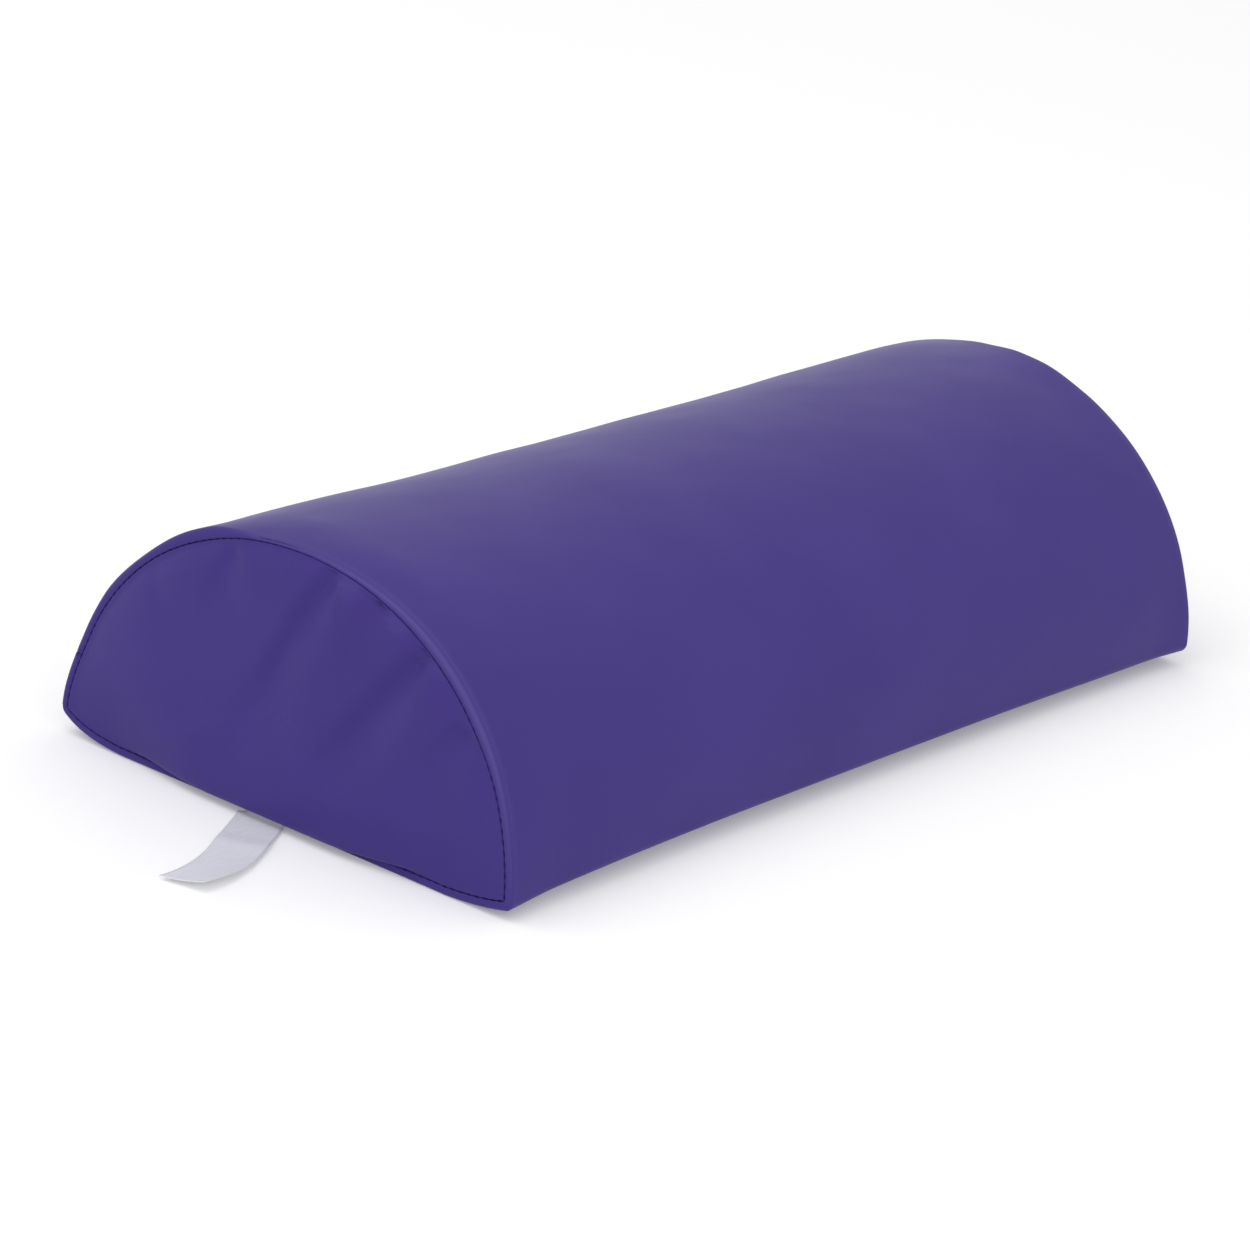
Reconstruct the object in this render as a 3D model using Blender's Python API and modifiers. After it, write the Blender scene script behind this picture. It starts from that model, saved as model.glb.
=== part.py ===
"""A half-round bolster: a foam core in a sewn leatherette cover with a zip low on its rear side.

The frame has +X along the length, with the label at the -X end, the zip on the +Y side and +Z up.
Its origin is the centre of the flat base that the bolster stands on. Sizes are in metres.
"""

import math

import bmesh
import bpy
from mathutils import Matrix, Vector

# Whole bolster, measured over the cover
LENGTH = 0.400
WIDTH = 0.200
HEIGHT = 0.100

# Cross-section: an arch over a base that is flat in the middle and lifts towards the long edges
EDGE_LEVEL = 0.010
EDGE_ROUND = 0.004
EDGE_LEAST_ROUND = 0.0005
EDGE_TURN = math.radians(56)
BASE_POWER = 9
STANDING_DEPTH = 0.0005
EDGE_STEPS = 3
ARCH_LEAST_STEP = math.radians(3)
SHARP_ANGLE = math.radians(40)
WELD_DISTANCE = 0.000001
BASE_PLACE_SHARES = (0.95, 0.88, 0.80, 0.70, 0.25, -0.25, -0.70, -0.80, -0.88, -0.95)

# Cover: one sleeve and two end panels, with their seam allowances turned in. The waist is reached
# this far from each end, where the window of the zip ends too
SHEET = 0.0011
CLEARANCE = 0.0003
ROLL_ROUND = 0.0016
ALLOWANCE = 0.008
PANEL_ROUND = 0.0020
PANEL_CROWN = 0.0045
WAIST_DEPTH = 0.001
WAIST_START = 0.030
ROLL_STEPS = 3
PANEL_STEPS = 2

# End panels: rings from the edge to the middle, and the soft folds that start at the arched seam
RING_SHARES = (0.06, 0.18, 0.40, 0.70)
RING_FOLD_SHARES = (0.7, 1.0, 0.75, 0.25)
MIDDLE_LEVEL_SHARE = 0.30
CROWN_POWER = 3
FOLD_DEPTH = 0.0014
FOLD_PLACE_SHARES = (0.20, 0.31, 0.395, 0.455, 0.61)
FOLD_DEPTH_SHARES = (0.6, 1.0, 0.5, 0.9, 0.4)
FOLD_SPREAD_SHARE = 0.026

# Columns of the arch as shares of the half turn from the front edge to the rear one
ARCH_SHARES = (0.07, 0.12, 0.15, 0.18, 0.205, 0.23, 0.26, 0.285, 0.31, 0.335, 0.365, 0.395, 0.425)
ARCH_SHARES += (0.455, 0.478, 0.50, 0.54, 0.58, 0.61, 0.64, 0.68, 0.73, 0.78, 0.83)

# Foam core
FOAM_SLACK = 0.0001
FOAM_END_SLACK = 0.0006
FOAM_SHOULDER = 0.004

# Zip: its line runs along the rear side, in a flat band of the cover
ZIP_LEVEL = 0.031
ZIP_BAND = 0.030
ZIP_WINDOW = 0.009
ZIP_HEM = 0.008
TAPE_TAIL = 0.008
TAPE_WIDTH = 0.0105
TAPE_SHEET = 0.0005
CHAIN_WIDTH = 0.0058
CHAIN_THICKNESS = 0.0024
CHANNEL_WIDTH = 0.0013
TOOTH_PITCH = 0.003
TOOTH_ROOT_SHARE = 0.58
TOOTH_HEAD_SHARE = 0.40
SPINE_WIDTH = 0.0009
STOP_LENGTH = 0.003
STOP_GRIP = 0.0012
STOP_RISE = 0.0006

# Zip slider and its pull tab
SLIDER_LENGTH = 0.011
SLIDER_FRONT_WIDTH = 0.0084
SLIDER_REAR_WIDTH = 0.0080
SLIDER_CORNER_SHARE = 0.18
PLATE_THICKNESS = 0.0010
FLANGE_THICKNESS = 0.0005
FLANGE_LENGTH = 0.0088
NECK_THICKNESS = 0.0006
NECK_LENGTH = 0.0030
BRIDGE_LENGTH = 0.0064
BRIDGE_WIDTH = 0.0020
BRIDGE_THICKNESS = 0.0008
BRIDGE_OPENING = 0.0006
BRIDGE_SHOULDER = 0.0010
JOIN_DEPTH = 0.0002
TAB_LENGTH = 0.022
TAB_REST_GAP = 0.0008
TAB_WIDTH = 0.0064
TAB_EYE_WIDTH = 0.0054
TAB_SHOULDER = 0.0016
TAB_ROUND_STEPS = 4
TAB_THICKNESS = 0.0011
TAB_CHAMFER = 0.0002
TAB_BAR = 0.0011
TAB_HOLE_WIDTH = 0.0030
TAB_HOLE_LENGTH = 0.0036
TAB_GRIP_LENGTH = 0.006
TAB_GRIP_WIDTH = 0.0022

# Label: a satin strip sewn into the bottom seam of the -X end, lying out over the floor
LABEL_LENGTH = 0.062
LABEL_WIDTH = 0.020
LABEL_SHEET = 0.0003
LABEL_ROOT_DEPTH = 0.0006
LABEL_ROOT_PLACE = 0.0064
LABEL_DRIFT = 0.020
LABEL_FLOOR_LEVEL = 0.0006
LABEL_TIP_LEVEL = 0.0030
LABEL_PLACE_SHARES = (0.0, 0.03, 0.07, 0.12, 0.18, 0.27, 0.40, 0.55, 0.70, 0.82, 0.92, 1.0)
LABEL_DROP_SHARES = (1.0, 0.98, 0.80, 0.46, 0.16, 0.02, 0.0, 0.0, 0.0, 0.0, 0.0, 0.0)
LABEL_CURL_SHARES = (0.0, 0.0, 0.0, 0.0, 0.0, 0.0, 0.0, 0.02, 0.10, 0.30, 0.62, 1.0)
LABEL_DRIFT_SHARES = (0.0, 0.02, 0.06, 0.13, 0.23, 0.39, 0.62, 0.84, 0.97, 1.0, 1.0, 0.99)

# Finishes as linear red, green and blue, roughness and metallic value
FINISHES = {
    "foam": ((0.72, 0.66, 0.48), 0.95, 0.0),
    "leatherette": ((0.068, 0.047, 0.225), 0.50, 0.0),
    "satin": ((0.80, 0.82, 0.86), 0.45, 0.0),
    "tape": ((0.055, 0.040, 0.170), 0.90, 0.0),
    "moulded_teeth": ((0.050, 0.036, 0.150), 0.45, 0.0),
    "nickel": ((0.60, 0.58, 0.55), 0.30, 1.0),
}

HALF_LENGTH = LENGTH / 2
PART_COLLECTION = "half_round_bolster"
HELPER_COLLECTION = "construction_helpers"


def clear_scene():
    """Removes every object and collection that the new scene came with."""
    for obj in list(bpy.data.objects):
        bpy.data.objects.remove(obj, do_unlink=True)
    for collection in list(bpy.data.collections):
        bpy.data.collections.remove(collection)


def new_collection(name):
    """Makes a collection in the scene and returns it."""
    collection = bpy.data.collections.new(name)
    bpy.context.scene.collection.children.link(collection)
    return collection


def material(name):
    """Returns the named finish as a material with a Principled shader."""
    if name in bpy.data.materials:
        return bpy.data.materials[name]
    colour, roughness, metallic = FINISHES[name]
    made = bpy.data.materials.new(name)
    made.use_nodes = True
    shader = made.node_tree.nodes["Principled BSDF"]
    shader.inputs["Base Color"].default_value = (*colour, 1.0)
    shader.inputs["Roughness"].default_value = roughness
    shader.inputs["Metallic"].default_value = metallic
    made.diffuse_color = (*colour, 1.0)
    return made


def new_object(name, mesh, finish, collection, matrix=None):
    """Wraps a mesh as a named part with its finish, smooth between its sharp edges."""
    obj = bpy.data.objects.new(name, mesh)
    mesh.name = name
    mesh.materials.clear()
    mesh.materials.append(material(finish))
    mesh.shade_smooth()
    mesh.set_sharp_from_angle(angle=SHARP_ANGLE)
    collection.objects.link(obj)
    if matrix is not None:
        obj.matrix_world = matrix
    return obj


def edge_centre(inset, draw):
    """Centre of a long edge's rounding, as its distance from the middle and its height."""
    past = max(0.0, inset + EDGE_LEAST_ROUND - EDGE_ROUND)
    rise = past * math.tan(EDGE_TURN / 2)
    return WIDTH / 2 - EDGE_ROUND - past - draw, EDGE_LEVEL + rise


def edge_point(share, side, inset, draw):
    """Point on a long edge's rounding, from its widest line at 0 to the base at 1."""
    across, level = edge_centre(inset, draw)
    radius = max(EDGE_ROUND - inset, EDGE_LEAST_ROUND)
    turn = EDGE_TURN * share
    return Vector((0, side * (across + radius * math.cos(turn)), level - radius * math.sin(turn)))


def arch_point(angle, inset, draw):
    """Point on the arch, from the front edge at no angle over the top to the rear edge."""
    across = (WIDTH / 2 - inset - draw) * math.cos(angle)
    rise = (HEIGHT - EDGE_LEVEL - inset - draw) * math.sin(angle)
    return Vector((0, -across, EDGE_LEVEL + rise))


def base_point(share, inset, draw):
    """Point on the base, flat in the middle and lifted at both long edges, where the share is 1."""
    edge = edge_point(1, 1, inset, draw)
    lift = edge.z - inset + STANDING_DEPTH
    rise = max(0.0, lift * abs(share) ** BASE_POWER - STANDING_DEPTH)
    return Vector((0, share * edge.y, inset + rise))


def zip_angles():
    """Angles on the arch where the flat band of the zip starts and ends."""
    up = math.asin((ZIP_LEVEL - EDGE_LEVEL) / (HEIGHT - EDGE_LEVEL))
    across = WIDTH / 2 * math.sin(up)
    rise = (HEIGHT - EDGE_LEVEL) * math.cos(up)
    half = ZIP_BAND / 2 / math.hypot(across, rise)
    return math.pi - up - half, math.pi - up + half


def band_point(offset, inset, draw):
    """Point in the zip's flat band, at this distance below the zip's line."""
    upper, lower = (arch_point(angle, inset, draw) for angle in zip_angles())
    return upper.lerp(lower, 0.5 + offset / ZIP_BAND)


def window_offset():
    """Distance from the zip's line to where the sleeve starts to turn in at the window."""
    return ZIP_WINDOW / 2 + hem_round()


def hem_round():
    """Outer radius of the turned edges beside the zip, which hold two sheets."""
    return SHEET + CLEARANCE / 2


def columns():
    """Kind and place of each column that the cross-section is drawn with, in order round it."""
    upper, _ = zip_angles()
    last_share = (upper - ARCH_LEAST_STEP) / math.pi
    offset = window_offset()
    edge_shares = [step / EDGE_STEPS for step in range(EDGE_STEPS + 1)]
    found = [("front_edge", share) for share in reversed(edge_shares)]
    found += [("arch", share) for share in ARCH_SHARES if share < last_share]
    found += [("band", -ZIP_BAND / 2), ("zip", -offset), ("zip", offset), ("band", ZIP_BAND / 2)]
    found += [("rear_edge", share) for share in edge_shares]
    return found + [("base", share) for share in BASE_PLACE_SHARES]


def section(inset, draw=0.0, zip_inset=0.0, band_inset=0.0):
    """Closed outline across the bolster, from the front edge over the arch and back along the base.

    The outline lies at this inset inside the cover's face, and deeper in the band of the zip.
    """
    points = []
    for kind, place in columns():
        if kind == "arch":
            points.append(arch_point(math.pi * place, inset, draw))
        elif kind == "band":
            points.append(band_point(place, max(inset, band_inset), draw))
        elif kind == "zip":
            points.append(band_point(place, max(inset, zip_inset), draw))
        elif kind == "base":
            points.append(base_point(place, inset, draw))
        else:
            points.append(edge_point(place, -1 if kind == "front_edge" else 1, inset, draw))
    return points


def middle():
    """The point of the cross-section that the end panels' rings close in on."""
    return Vector((0, 0, HEIGHT * MIDDLE_LEVEL_SHARE))


def at(points, x):
    """The outline moved to this place along the length."""
    return [Vector((x, point.y, point.z)) for point in points]


def loft(rows, first_tip=None, last_tip=None):
    """Joins closed rows of points, with a fan to a tip at either end where one is given.

    The faces look outward where the rows follow each other from the +X end towards the -X end.
    """
    shape = bmesh.new()
    made = [[shape.verts.new(point) for point in row] for row in rows]
    for row, after in zip(made, made[1:]):
        for place in range(len(row)):
            step = (place + 1) % len(row)
            shape.faces.new((row[place], row[step], after[step], after[place]))
    for tip, row in ((first_tip, made[0][::-1]), (last_tip, made[-1])):
        if tip is None:
            continue
        end = shape.verts.new(tip)
        for place in range(len(row)):
            shape.faces.new((row[place], row[(place + 1) % len(row)], end))
    return shape


def mirror_ends(rows):
    """The rows moved to the other end of the bolster, still in order from +X to -X."""
    return [[Vector((-point.x, point.y, point.z)) for point in row] for row in reversed(rows)]


def finish_mesh(shape, name):
    """Turns a bmesh into a mesh and frees it."""
    mesh = bpy.data.meshes.new(name)
    shape.to_mesh(mesh)
    shape.free()
    return mesh


def add_thickness(obj, thickness):
    """Gives an open surface its thickness on the inner side."""
    modifier = obj.modifiers.new("Sheet", "SOLIDIFY")
    modifier.thickness = thickness
    modifier.offset = -1
    modifier.use_even_offset = True
    modifier.use_quality_normals = True


def roll_stations():
    """Place along the length and inset of one end of the sleeve, from its tucked-in edge outwards."""
    start = HALF_LENGTH - ROLL_ROUND
    stations = [(start - ALLOWANCE, 2 * ROLL_ROUND)]
    for step in range(ROLL_STEPS + 1):
        turn = math.pi * (1 - step / ROLL_STEPS)
        stations.append((start + ROLL_ROUND * math.sin(turn), ROLL_ROUND * (1 - math.cos(turn))))
    return stations


def window_end():
    """Half the length of the window in the sleeve that shows the zip."""
    return HALF_LENGTH - WAIST_START


def draw_at(place):
    """How far the cover draws in at this place along the length, from none at its rolled ends."""
    start = HALF_LENGTH - ROLL_ROUND
    return WAIST_DEPTH * min(1.0, max(0.0, (start - place) / (start - window_end())))


def sleeve_mesh():
    """The sleeve's outer face, with its ends rolled in and the hems turned in beside the zip."""
    rows = [at(section(inset), place) for place, inset in roll_stations()]
    first = len(rows)
    rows.append(at(section(0.0, WAIST_DEPTH), window_end()))
    rows += mirror_ends(rows)
    shape = loft(rows)
    shape.verts.ensure_lookup_table()
    sides = [column for column, (kind, _) in enumerate(columns()) if kind == "zip"]
    upper, lower = ([shape.verts[row * len(rows[0]) + side] for row in (first, first + 1)]
                    for side in sides)
    window = [face for face in shape.faces if all(corner in face.verts for corner in upper + lower)]
    bmesh.ops.delete(shape, geom=window, context="FACES_ONLY")
    add_hem(shape, upper[::-1], -1)
    add_hem(shape, lower, 1)
    return finish_mesh(shape, "cover_sleeve")


def add_hem(shape, corners, side):
    """Turns the sleeve's edge between two corners in and back under itself, above or below the zip."""
    frame = zip_frame().to_3x3()
    away = frame.col[1] * side
    outward = frame.col[2]
    radius = hem_round()
    moves = []
    for step in range(1, ROLL_STEPS + 1):
        turn = math.pi * step / ROLL_STEPS
        moves.append(-away * radius * math.sin(turn) - outward * radius * (1 - math.cos(turn)))
    moves.append(moves[-1] + away * ZIP_HEM)
    before = corners
    for move in moves:
        after = [shape.verts.new(corner.co + move) for corner in corners]
        shape.faces.new((before[0], before[1], after[1], after[0]))
        before = after


def crown(share):
    """How far an end panel stands out beyond its edge, from none there to its full height."""
    return PANEL_CROWN * (1 - (1 - share) ** CROWN_POWER)


def fold_depths():
    """Depth of the folds at each column, which are deepest where their own places are on the arch."""
    depths = []
    for kind, place in columns():
        folds = zip(FOLD_PLACE_SHARES, FOLD_DEPTH_SHARES)
        sums = sum(depth * math.exp(-(((place - centre) / FOLD_SPREAD_SHARE) ** 2))
                   for centre, depth in folds)
        depths.append(FOLD_DEPTH * sums if kind == "arch" else 0.0)
    return depths


def panel_rings(base, depth=0.0):
    """Rings of an end panel from its middle outwards, crowned, sunk at the folds and by this depth."""
    rings = []
    for share, fold_share in zip(reversed(RING_SHARES), reversed(RING_FOLD_SHARES)):
        ring = []
        for point, fold in zip(base, fold_depths()):
            pulled = point.lerp(middle(), share)
            place = HALF_LENGTH + crown(share) - depth - fold * fold_share
            ring.append(Vector((place, pulled.y, pulled.z)))
        rings.append(ring)
    return rings


def panel_tip(depth=0.0):
    """The middle of the +X end's crown, sunk by this depth."""
    return middle() + Vector((HALF_LENGTH + PANEL_CROWN - depth, 0, 0))


def panel_edge_inset():
    """Inset of an end panel's turned-in edge, just inside the sleeve's."""
    return 2 * ROLL_ROUND + CLEARANCE


def panel_mesh(side):
    """An end panel's outer face: its crowned middle, its rounded rim and its turned-in edge."""
    edge = panel_edge_inset()
    rows = panel_rings(section(edge + PANEL_ROUND))
    for step in reversed(range(PANEL_STEPS + 1)):
        turn = math.pi / 2 * step / PANEL_STEPS
        inset = edge + PANEL_ROUND * (1 - math.cos(turn))
        rows.append(at(section(inset), HALF_LENGTH - PANEL_ROUND * (1 - math.sin(turn))))
    rows.append(at(section(edge), HALF_LENGTH - ROLL_ROUND - ALLOWANCE))
    if side > 0:
        return finish_mesh(loft(rows, first_tip=panel_tip()), "end_panel")
    tip = mirror_ends([[panel_tip()]])[0][0]
    return finish_mesh(loft(mirror_ends(rows), last_tip=tip), "end_panel")


def foam_mesh():
    """The foam block, which fills the cover and gives way to the turned-in edges and the zip."""
    body = SHEET + CLEARANCE + FOAM_SLACK
    neck = panel_edge_inset() + SHEET + CLEARANCE + FOAM_SLACK
    tip = HALF_LENGTH - ROLL_ROUND - ALLOWANCE - CLEARANCE - FOAM_SLACK
    depth = SHEET + FOAM_END_SLACK
    zip_inset = -slider_levels()["back_bottom"] + CLEARANCE + FOAM_SLACK
    band_inset = -tape_levels()[1] + CLEARANCE + FOAM_SLACK
    base = section(panel_edge_inset() + PANEL_ROUND, 0.0, zip_inset, band_inset)
    neck_section = section(neck, 0.0, zip_inset, band_inset)
    shoulder = tip - FOAM_SHOULDER
    rows = panel_rings(base, depth)
    rows.append(at(base, HALF_LENGTH - depth))
    rows.append(at(neck_section, HALF_LENGTH - PANEL_ROUND - CLEARANCE))
    rows.append(at(neck_section, tip))
    rows.append(at(section(body, draw_at(shoulder), zip_inset, band_inset), shoulder))
    rows.append(at(section(body, WAIST_DEPTH, zip_inset, band_inset), window_end()))
    end = panel_tip(depth)
    other_end = mirror_ends([[end]])[0][0]
    return finish_mesh(loft(rows + mirror_ends(rows), end, other_end), "foam_core")


def zip_frame():
    """Frame of the zip at mid-length: X along the zip, Y down along the sleeve, Z out of its face."""
    upper, centre, lower = (band_point(share * ZIP_BAND, 0.0, WAIST_DEPTH) for share in (-0.5, 0, 0.5))
    along = Vector((1, 0, 0))
    down = (lower - upper).normalized()
    frame = Matrix((along, down, along.cross(down))).transposed().to_4x4()
    return Matrix.Translation(centre) @ frame


def tape_levels():
    """Outer and inner face of the zip's tapes, as levels in the zip's frame."""
    top = -2 * hem_round() - CLEARANCE
    return top, top - TAPE_SHEET


def chain_levels():
    """Outer and inner face of the rows of teeth, which the tapes meet at half their thickness."""
    centre = sum(tape_levels()) / 2
    return centre + CHAIN_THICKNESS / 2, centre - CHAIN_THICKNESS / 2


def slider_levels():
    """Levels of the slider's two plates and of the flanges that run beside the tapes."""
    chain_top, chain_bottom = chain_levels()
    tape_top, tape_bottom = tape_levels()
    front_bottom = chain_top + CLEARANCE
    back_top = chain_bottom - CLEARANCE
    return {
        "front_top": front_bottom + PLATE_THICKNESS,
        "front_bottom": front_bottom,
        "front_flange": tape_top + CLEARANCE,
        "back_flange": tape_bottom - CLEARANCE,
        "back_top": back_top,
        "back_bottom": back_top - PLATE_THICKNESS,
    }


def tape_end():
    """Half the length of the zip's tapes, whose tails lie under the sleeve past the window."""
    return window_end() + TAPE_TAIL


def chain_end():
    """Half the length of the rows of teeth, which end inside the window beside their stops."""
    return window_end() - STOP_LENGTH - 2 * CLEARANCE


def box_mesh(low, high, name):
    """A box between two corners."""
    shape = bmesh.new()
    low = Vector(low)
    high = Vector(high)
    size = high - low
    matrix = Matrix.Translation((low + high) / 2) @ Matrix.Diagonal((*size, 1.0))
    bmesh.ops.create_cube(shape, size=1.0, matrix=matrix)
    return finish_mesh(shape, name)


def outline_mesh(name, outlines, thickness, matrix=None, chamfer=0.0):
    """A flat piece cut to its outlines, centred on their plane, with holes where outlines nest."""
    curve = bpy.data.curves.new(name, "CURVE")
    curve.dimensions = "2D"
    curve.fill_mode = "BOTH"
    curve.extrude = thickness / 2 - chamfer
    curve.bevel_depth = chamfer
    curve.bevel_resolution = 0
    curve.offset = -chamfer
    for outline in outlines:
        spline = curve.splines.new("POLY")
        spline.points.add(len(outline) - 1)
        for point, place in zip(spline.points, outline):
            point.co = (place[0], place[1], 0.0, 1.0)
        spline.use_cyclic_u = True
    helper = bpy.data.objects.new(name, curve)
    bpy.context.scene.collection.objects.link(helper)
    graph = bpy.context.evaluated_depsgraph_get()
    mesh = bpy.data.meshes.new_from_object(helper.evaluated_get(graph))
    bpy.data.objects.remove(helper, do_unlink=True)
    shape = bmesh.new()
    shape.from_mesh(mesh)
    bmesh.ops.remove_doubles(shape, verts=shape.verts, dist=WELD_DISTANCE)
    bmesh.ops.recalc_face_normals(shape, faces=shape.faces)
    if matrix is not None:
        bmesh.ops.transform(shape, matrix=matrix, verts=shape.verts)
    bpy.data.meshes.remove(mesh)
    return finish_mesh(shape, name)


def across_zip(x):
    """Matrix that stands an outline drawn across the zip upright at this place along it."""
    turn = Matrix(((0, 0, 1), (1, 0, 0), (0, 1, 0))).to_4x4()
    return Matrix.Translation((x, 0, 0)) @ turn


def along_zip():
    """Matrix that stands an outline drawn along the zip upright on the zip's line."""
    return Matrix(((1, 0, 0), (0, 0, -1), (0, 1, 0))).to_4x4()


def teeth_outline(side):
    """Outline of one row of teeth on its spine; the two rows are set half a pitch apart."""
    outer = side * CHAIN_WIDTH / 2
    root = side * (CHAIN_WIDTH / 2 - SPINE_WIDTH)
    head = side * CHANNEL_WIDTH / 2
    end = chain_end()
    count = int((2 * end - TOOTH_PITCH) / TOOTH_PITCH)
    start = -TOOTH_PITCH * (count - 1) / 2 + side * TOOTH_PITCH / 4
    outline = [(-end, outer), (-end, root)]
    for tooth in range(count):
        centre = start + tooth * TOOTH_PITCH
        for share, level in ((-TOOTH_ROOT_SHARE, root), (-TOOTH_HEAD_SHARE, head),
                             (TOOTH_HEAD_SHARE, head), (TOOTH_ROOT_SHARE, root)):
            outline.append((centre + share * TOOTH_PITCH / 2, level))
    return outline + [(end, root), (end, outer)]


def clip_outline(joined):
    """Outline across the zip of a stop that grips the lower tape or, where it is joined, both."""
    top = chain_levels()[0] + STOP_RISE
    bottom = chain_levels()[1] - STOP_RISE
    slot_top = tape_levels()[0] + CLEARANCE
    slot_bottom = tape_levels()[1] - CLEARANCE
    web = CHAIN_WIDTH / 2
    rim = web + STOP_GRIP
    right = [(rim, bottom), (rim, slot_bottom), (web, slot_bottom), (web, slot_top), (rim, slot_top),
             (rim, top)]
    if joined:
        return right + [(-across, level) for across, level in reversed(right)]
    inner = CHANNEL_WIDTH / 2
    return right + [(inner, top), (inner, bottom)]


def slider_outline():
    """Plan of the slider's plates, wider at the front, with cut corners."""
    half = SLIDER_LENGTH / 2
    cut = SLIDER_CORNER_SHARE * SLIDER_LENGTH
    front = SLIDER_FRONT_WIDTH / 2
    rear = SLIDER_REAR_WIDTH / 2
    return both_sides([(-half, front - cut), (-half + cut, front), (half - cut, rear), (half, rear - cut)])


def bridge_outline():
    """Side view of the strap that holds the pull tab, from foot to foot."""
    foot = slider_levels()["front_top"] - JOIN_DEPTH
    inner_top = tab_level() + TAB_THICKNESS / 2 + BRIDGE_OPENING
    outer_top = inner_top + BRIDGE_THICKNESS
    outer = BRIDGE_LENGTH / 2
    inner = outer - BRIDGE_THICKNESS
    slope = BRIDGE_SHOULDER
    over = [(-outer, foot), (-outer, outer_top - slope), (-outer + slope, outer_top)]
    under = [(-inner, foot), (-inner, inner_top - slope / 2), (-inner + slope / 2, inner_top)]
    over += [(-along, level) for along, level in reversed(over)]
    under += [(-along, level) for along, level in reversed(under)]
    return over + under[::-1]


def tab_level():
    """Level of the middle of the pull tab, which lies just above the sleeve."""
    return TAB_REST_GAP + TAB_THICKNESS / 2


def tab_outlines():
    """Outlines of the pull tab from its pivot along the zip: the plate, its eye and its grip slot."""
    eye_start = TAB_BAR / 2
    eye_end = eye_start + TAB_HOLE_LENGTH
    neck_end = eye_end + TAB_BAR
    narrow = TAB_EYE_WIDTH / 2
    wide = TAB_WIDTH / 2
    round_centre = TAB_LENGTH - wide
    plate = [(-TAB_BAR / 2, narrow), (neck_end, narrow), (neck_end + TAB_SHOULDER, wide)]
    plate += rounded(round_centre, wide)
    eye = [(eye_start, TAB_HOLE_WIDTH / 2), (eye_end, TAB_HOLE_WIDTH / 2)]
    grip_middle = round_centre - TAB_GRIP_LENGTH / 2
    far_end = rounded(round_centre - TAB_GRIP_WIDTH / 2, TAB_GRIP_WIDTH / 2)
    near_end = [(2 * grip_middle - along, across) for along, across in reversed(far_end)]
    return [both_sides(plate), both_sides(eye), both_sides(near_end + far_end)]


def rounded(centre, radius):
    """Quarter turn from the side of a round end to its tip."""
    turns = [math.pi / 2 * step / TAB_ROUND_STEPS for step in range(TAB_ROUND_STEPS)]
    side = [(centre + radius * math.sin(turn), radius * math.cos(turn)) for turn in turns]
    return side + [(centre + radius, 0.0)]


def both_sides(side):
    """An outline closed by its mirror image, whose points on the mirror line stay single."""
    return side + [(along, -across) for along, across in reversed(side) if across > 0]


def join(pieces, name, helpers):
    """Unites overlapping pieces into one closed mesh with exact booleans."""
    base = bpy.data.objects.new(name, pieces[0])
    helpers.objects.link(base)
    for piece in pieces[1:]:
        other = bpy.data.objects.new(name + "_piece", piece)
        helpers.objects.link(other)
        modifier = base.modifiers.new("Join", "BOOLEAN")
        modifier.operation = "UNION"
        modifier.object = other
    graph = bpy.context.evaluated_depsgraph_get()
    mesh = bpy.data.meshes.new_from_object(base.evaluated_get(graph))
    for obj in list(helpers.objects):
        bpy.data.objects.remove(obj, do_unlink=True)
    return mesh


def build_slider(collection, helpers):
    """The slider: two plates joined by a thin neck, flanges beside the tapes and the tab's bridge."""
    levels = slider_levels()
    plates = []
    for top, bottom in (("front_top", "front_bottom"), ("back_top", "back_bottom")):
        matrix = Matrix.Translation((0, 0, (levels[top] + levels[bottom]) / 2))
        plates.append(outline_mesh("plate", [slider_outline()], PLATE_THICKNESS, matrix))
    inner = CHAIN_WIDTH / 2 + CLEARANCE
    half = FLANGE_LENGTH / 2
    spans = ((levels["front_flange"], levels["front_bottom"] + JOIN_DEPTH),
             (levels["back_top"] - JOIN_DEPTH, levels["back_flange"]))
    flanges = []
    for low, high in spans:
        for side in (-1, 1):
            near, far = sorted((side * inner, side * (inner + FLANGE_THICKNESS)))
            flanges.append(box_mesh((-half, near, low), (half, far, high), "flange"))
    front = -SLIDER_LENGTH / 2 + SLIDER_CORNER_SHARE * SLIDER_LENGTH
    low = (front, -NECK_THICKNESS / 2, levels["back_top"] - JOIN_DEPTH)
    high = (front + NECK_LENGTH, NECK_THICKNESS / 2, levels["front_bottom"] + JOIN_DEPTH)
    neck = box_mesh(low, high, "neck")
    bridge = outline_mesh("bridge", [bridge_outline()], BRIDGE_WIDTH, along_zip())
    mesh = join([plates[0], *flanges[:2], bridge, neck, plates[1], *flanges[2:]], "slider", helpers)
    return new_object("zip_slider", mesh, "nickel", collection)


def slider_rest():
    """Place of the slider along the zip when it is closed, against the stops at the label's end."""
    return -chain_end() + SLIDER_LENGTH / 2


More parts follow.
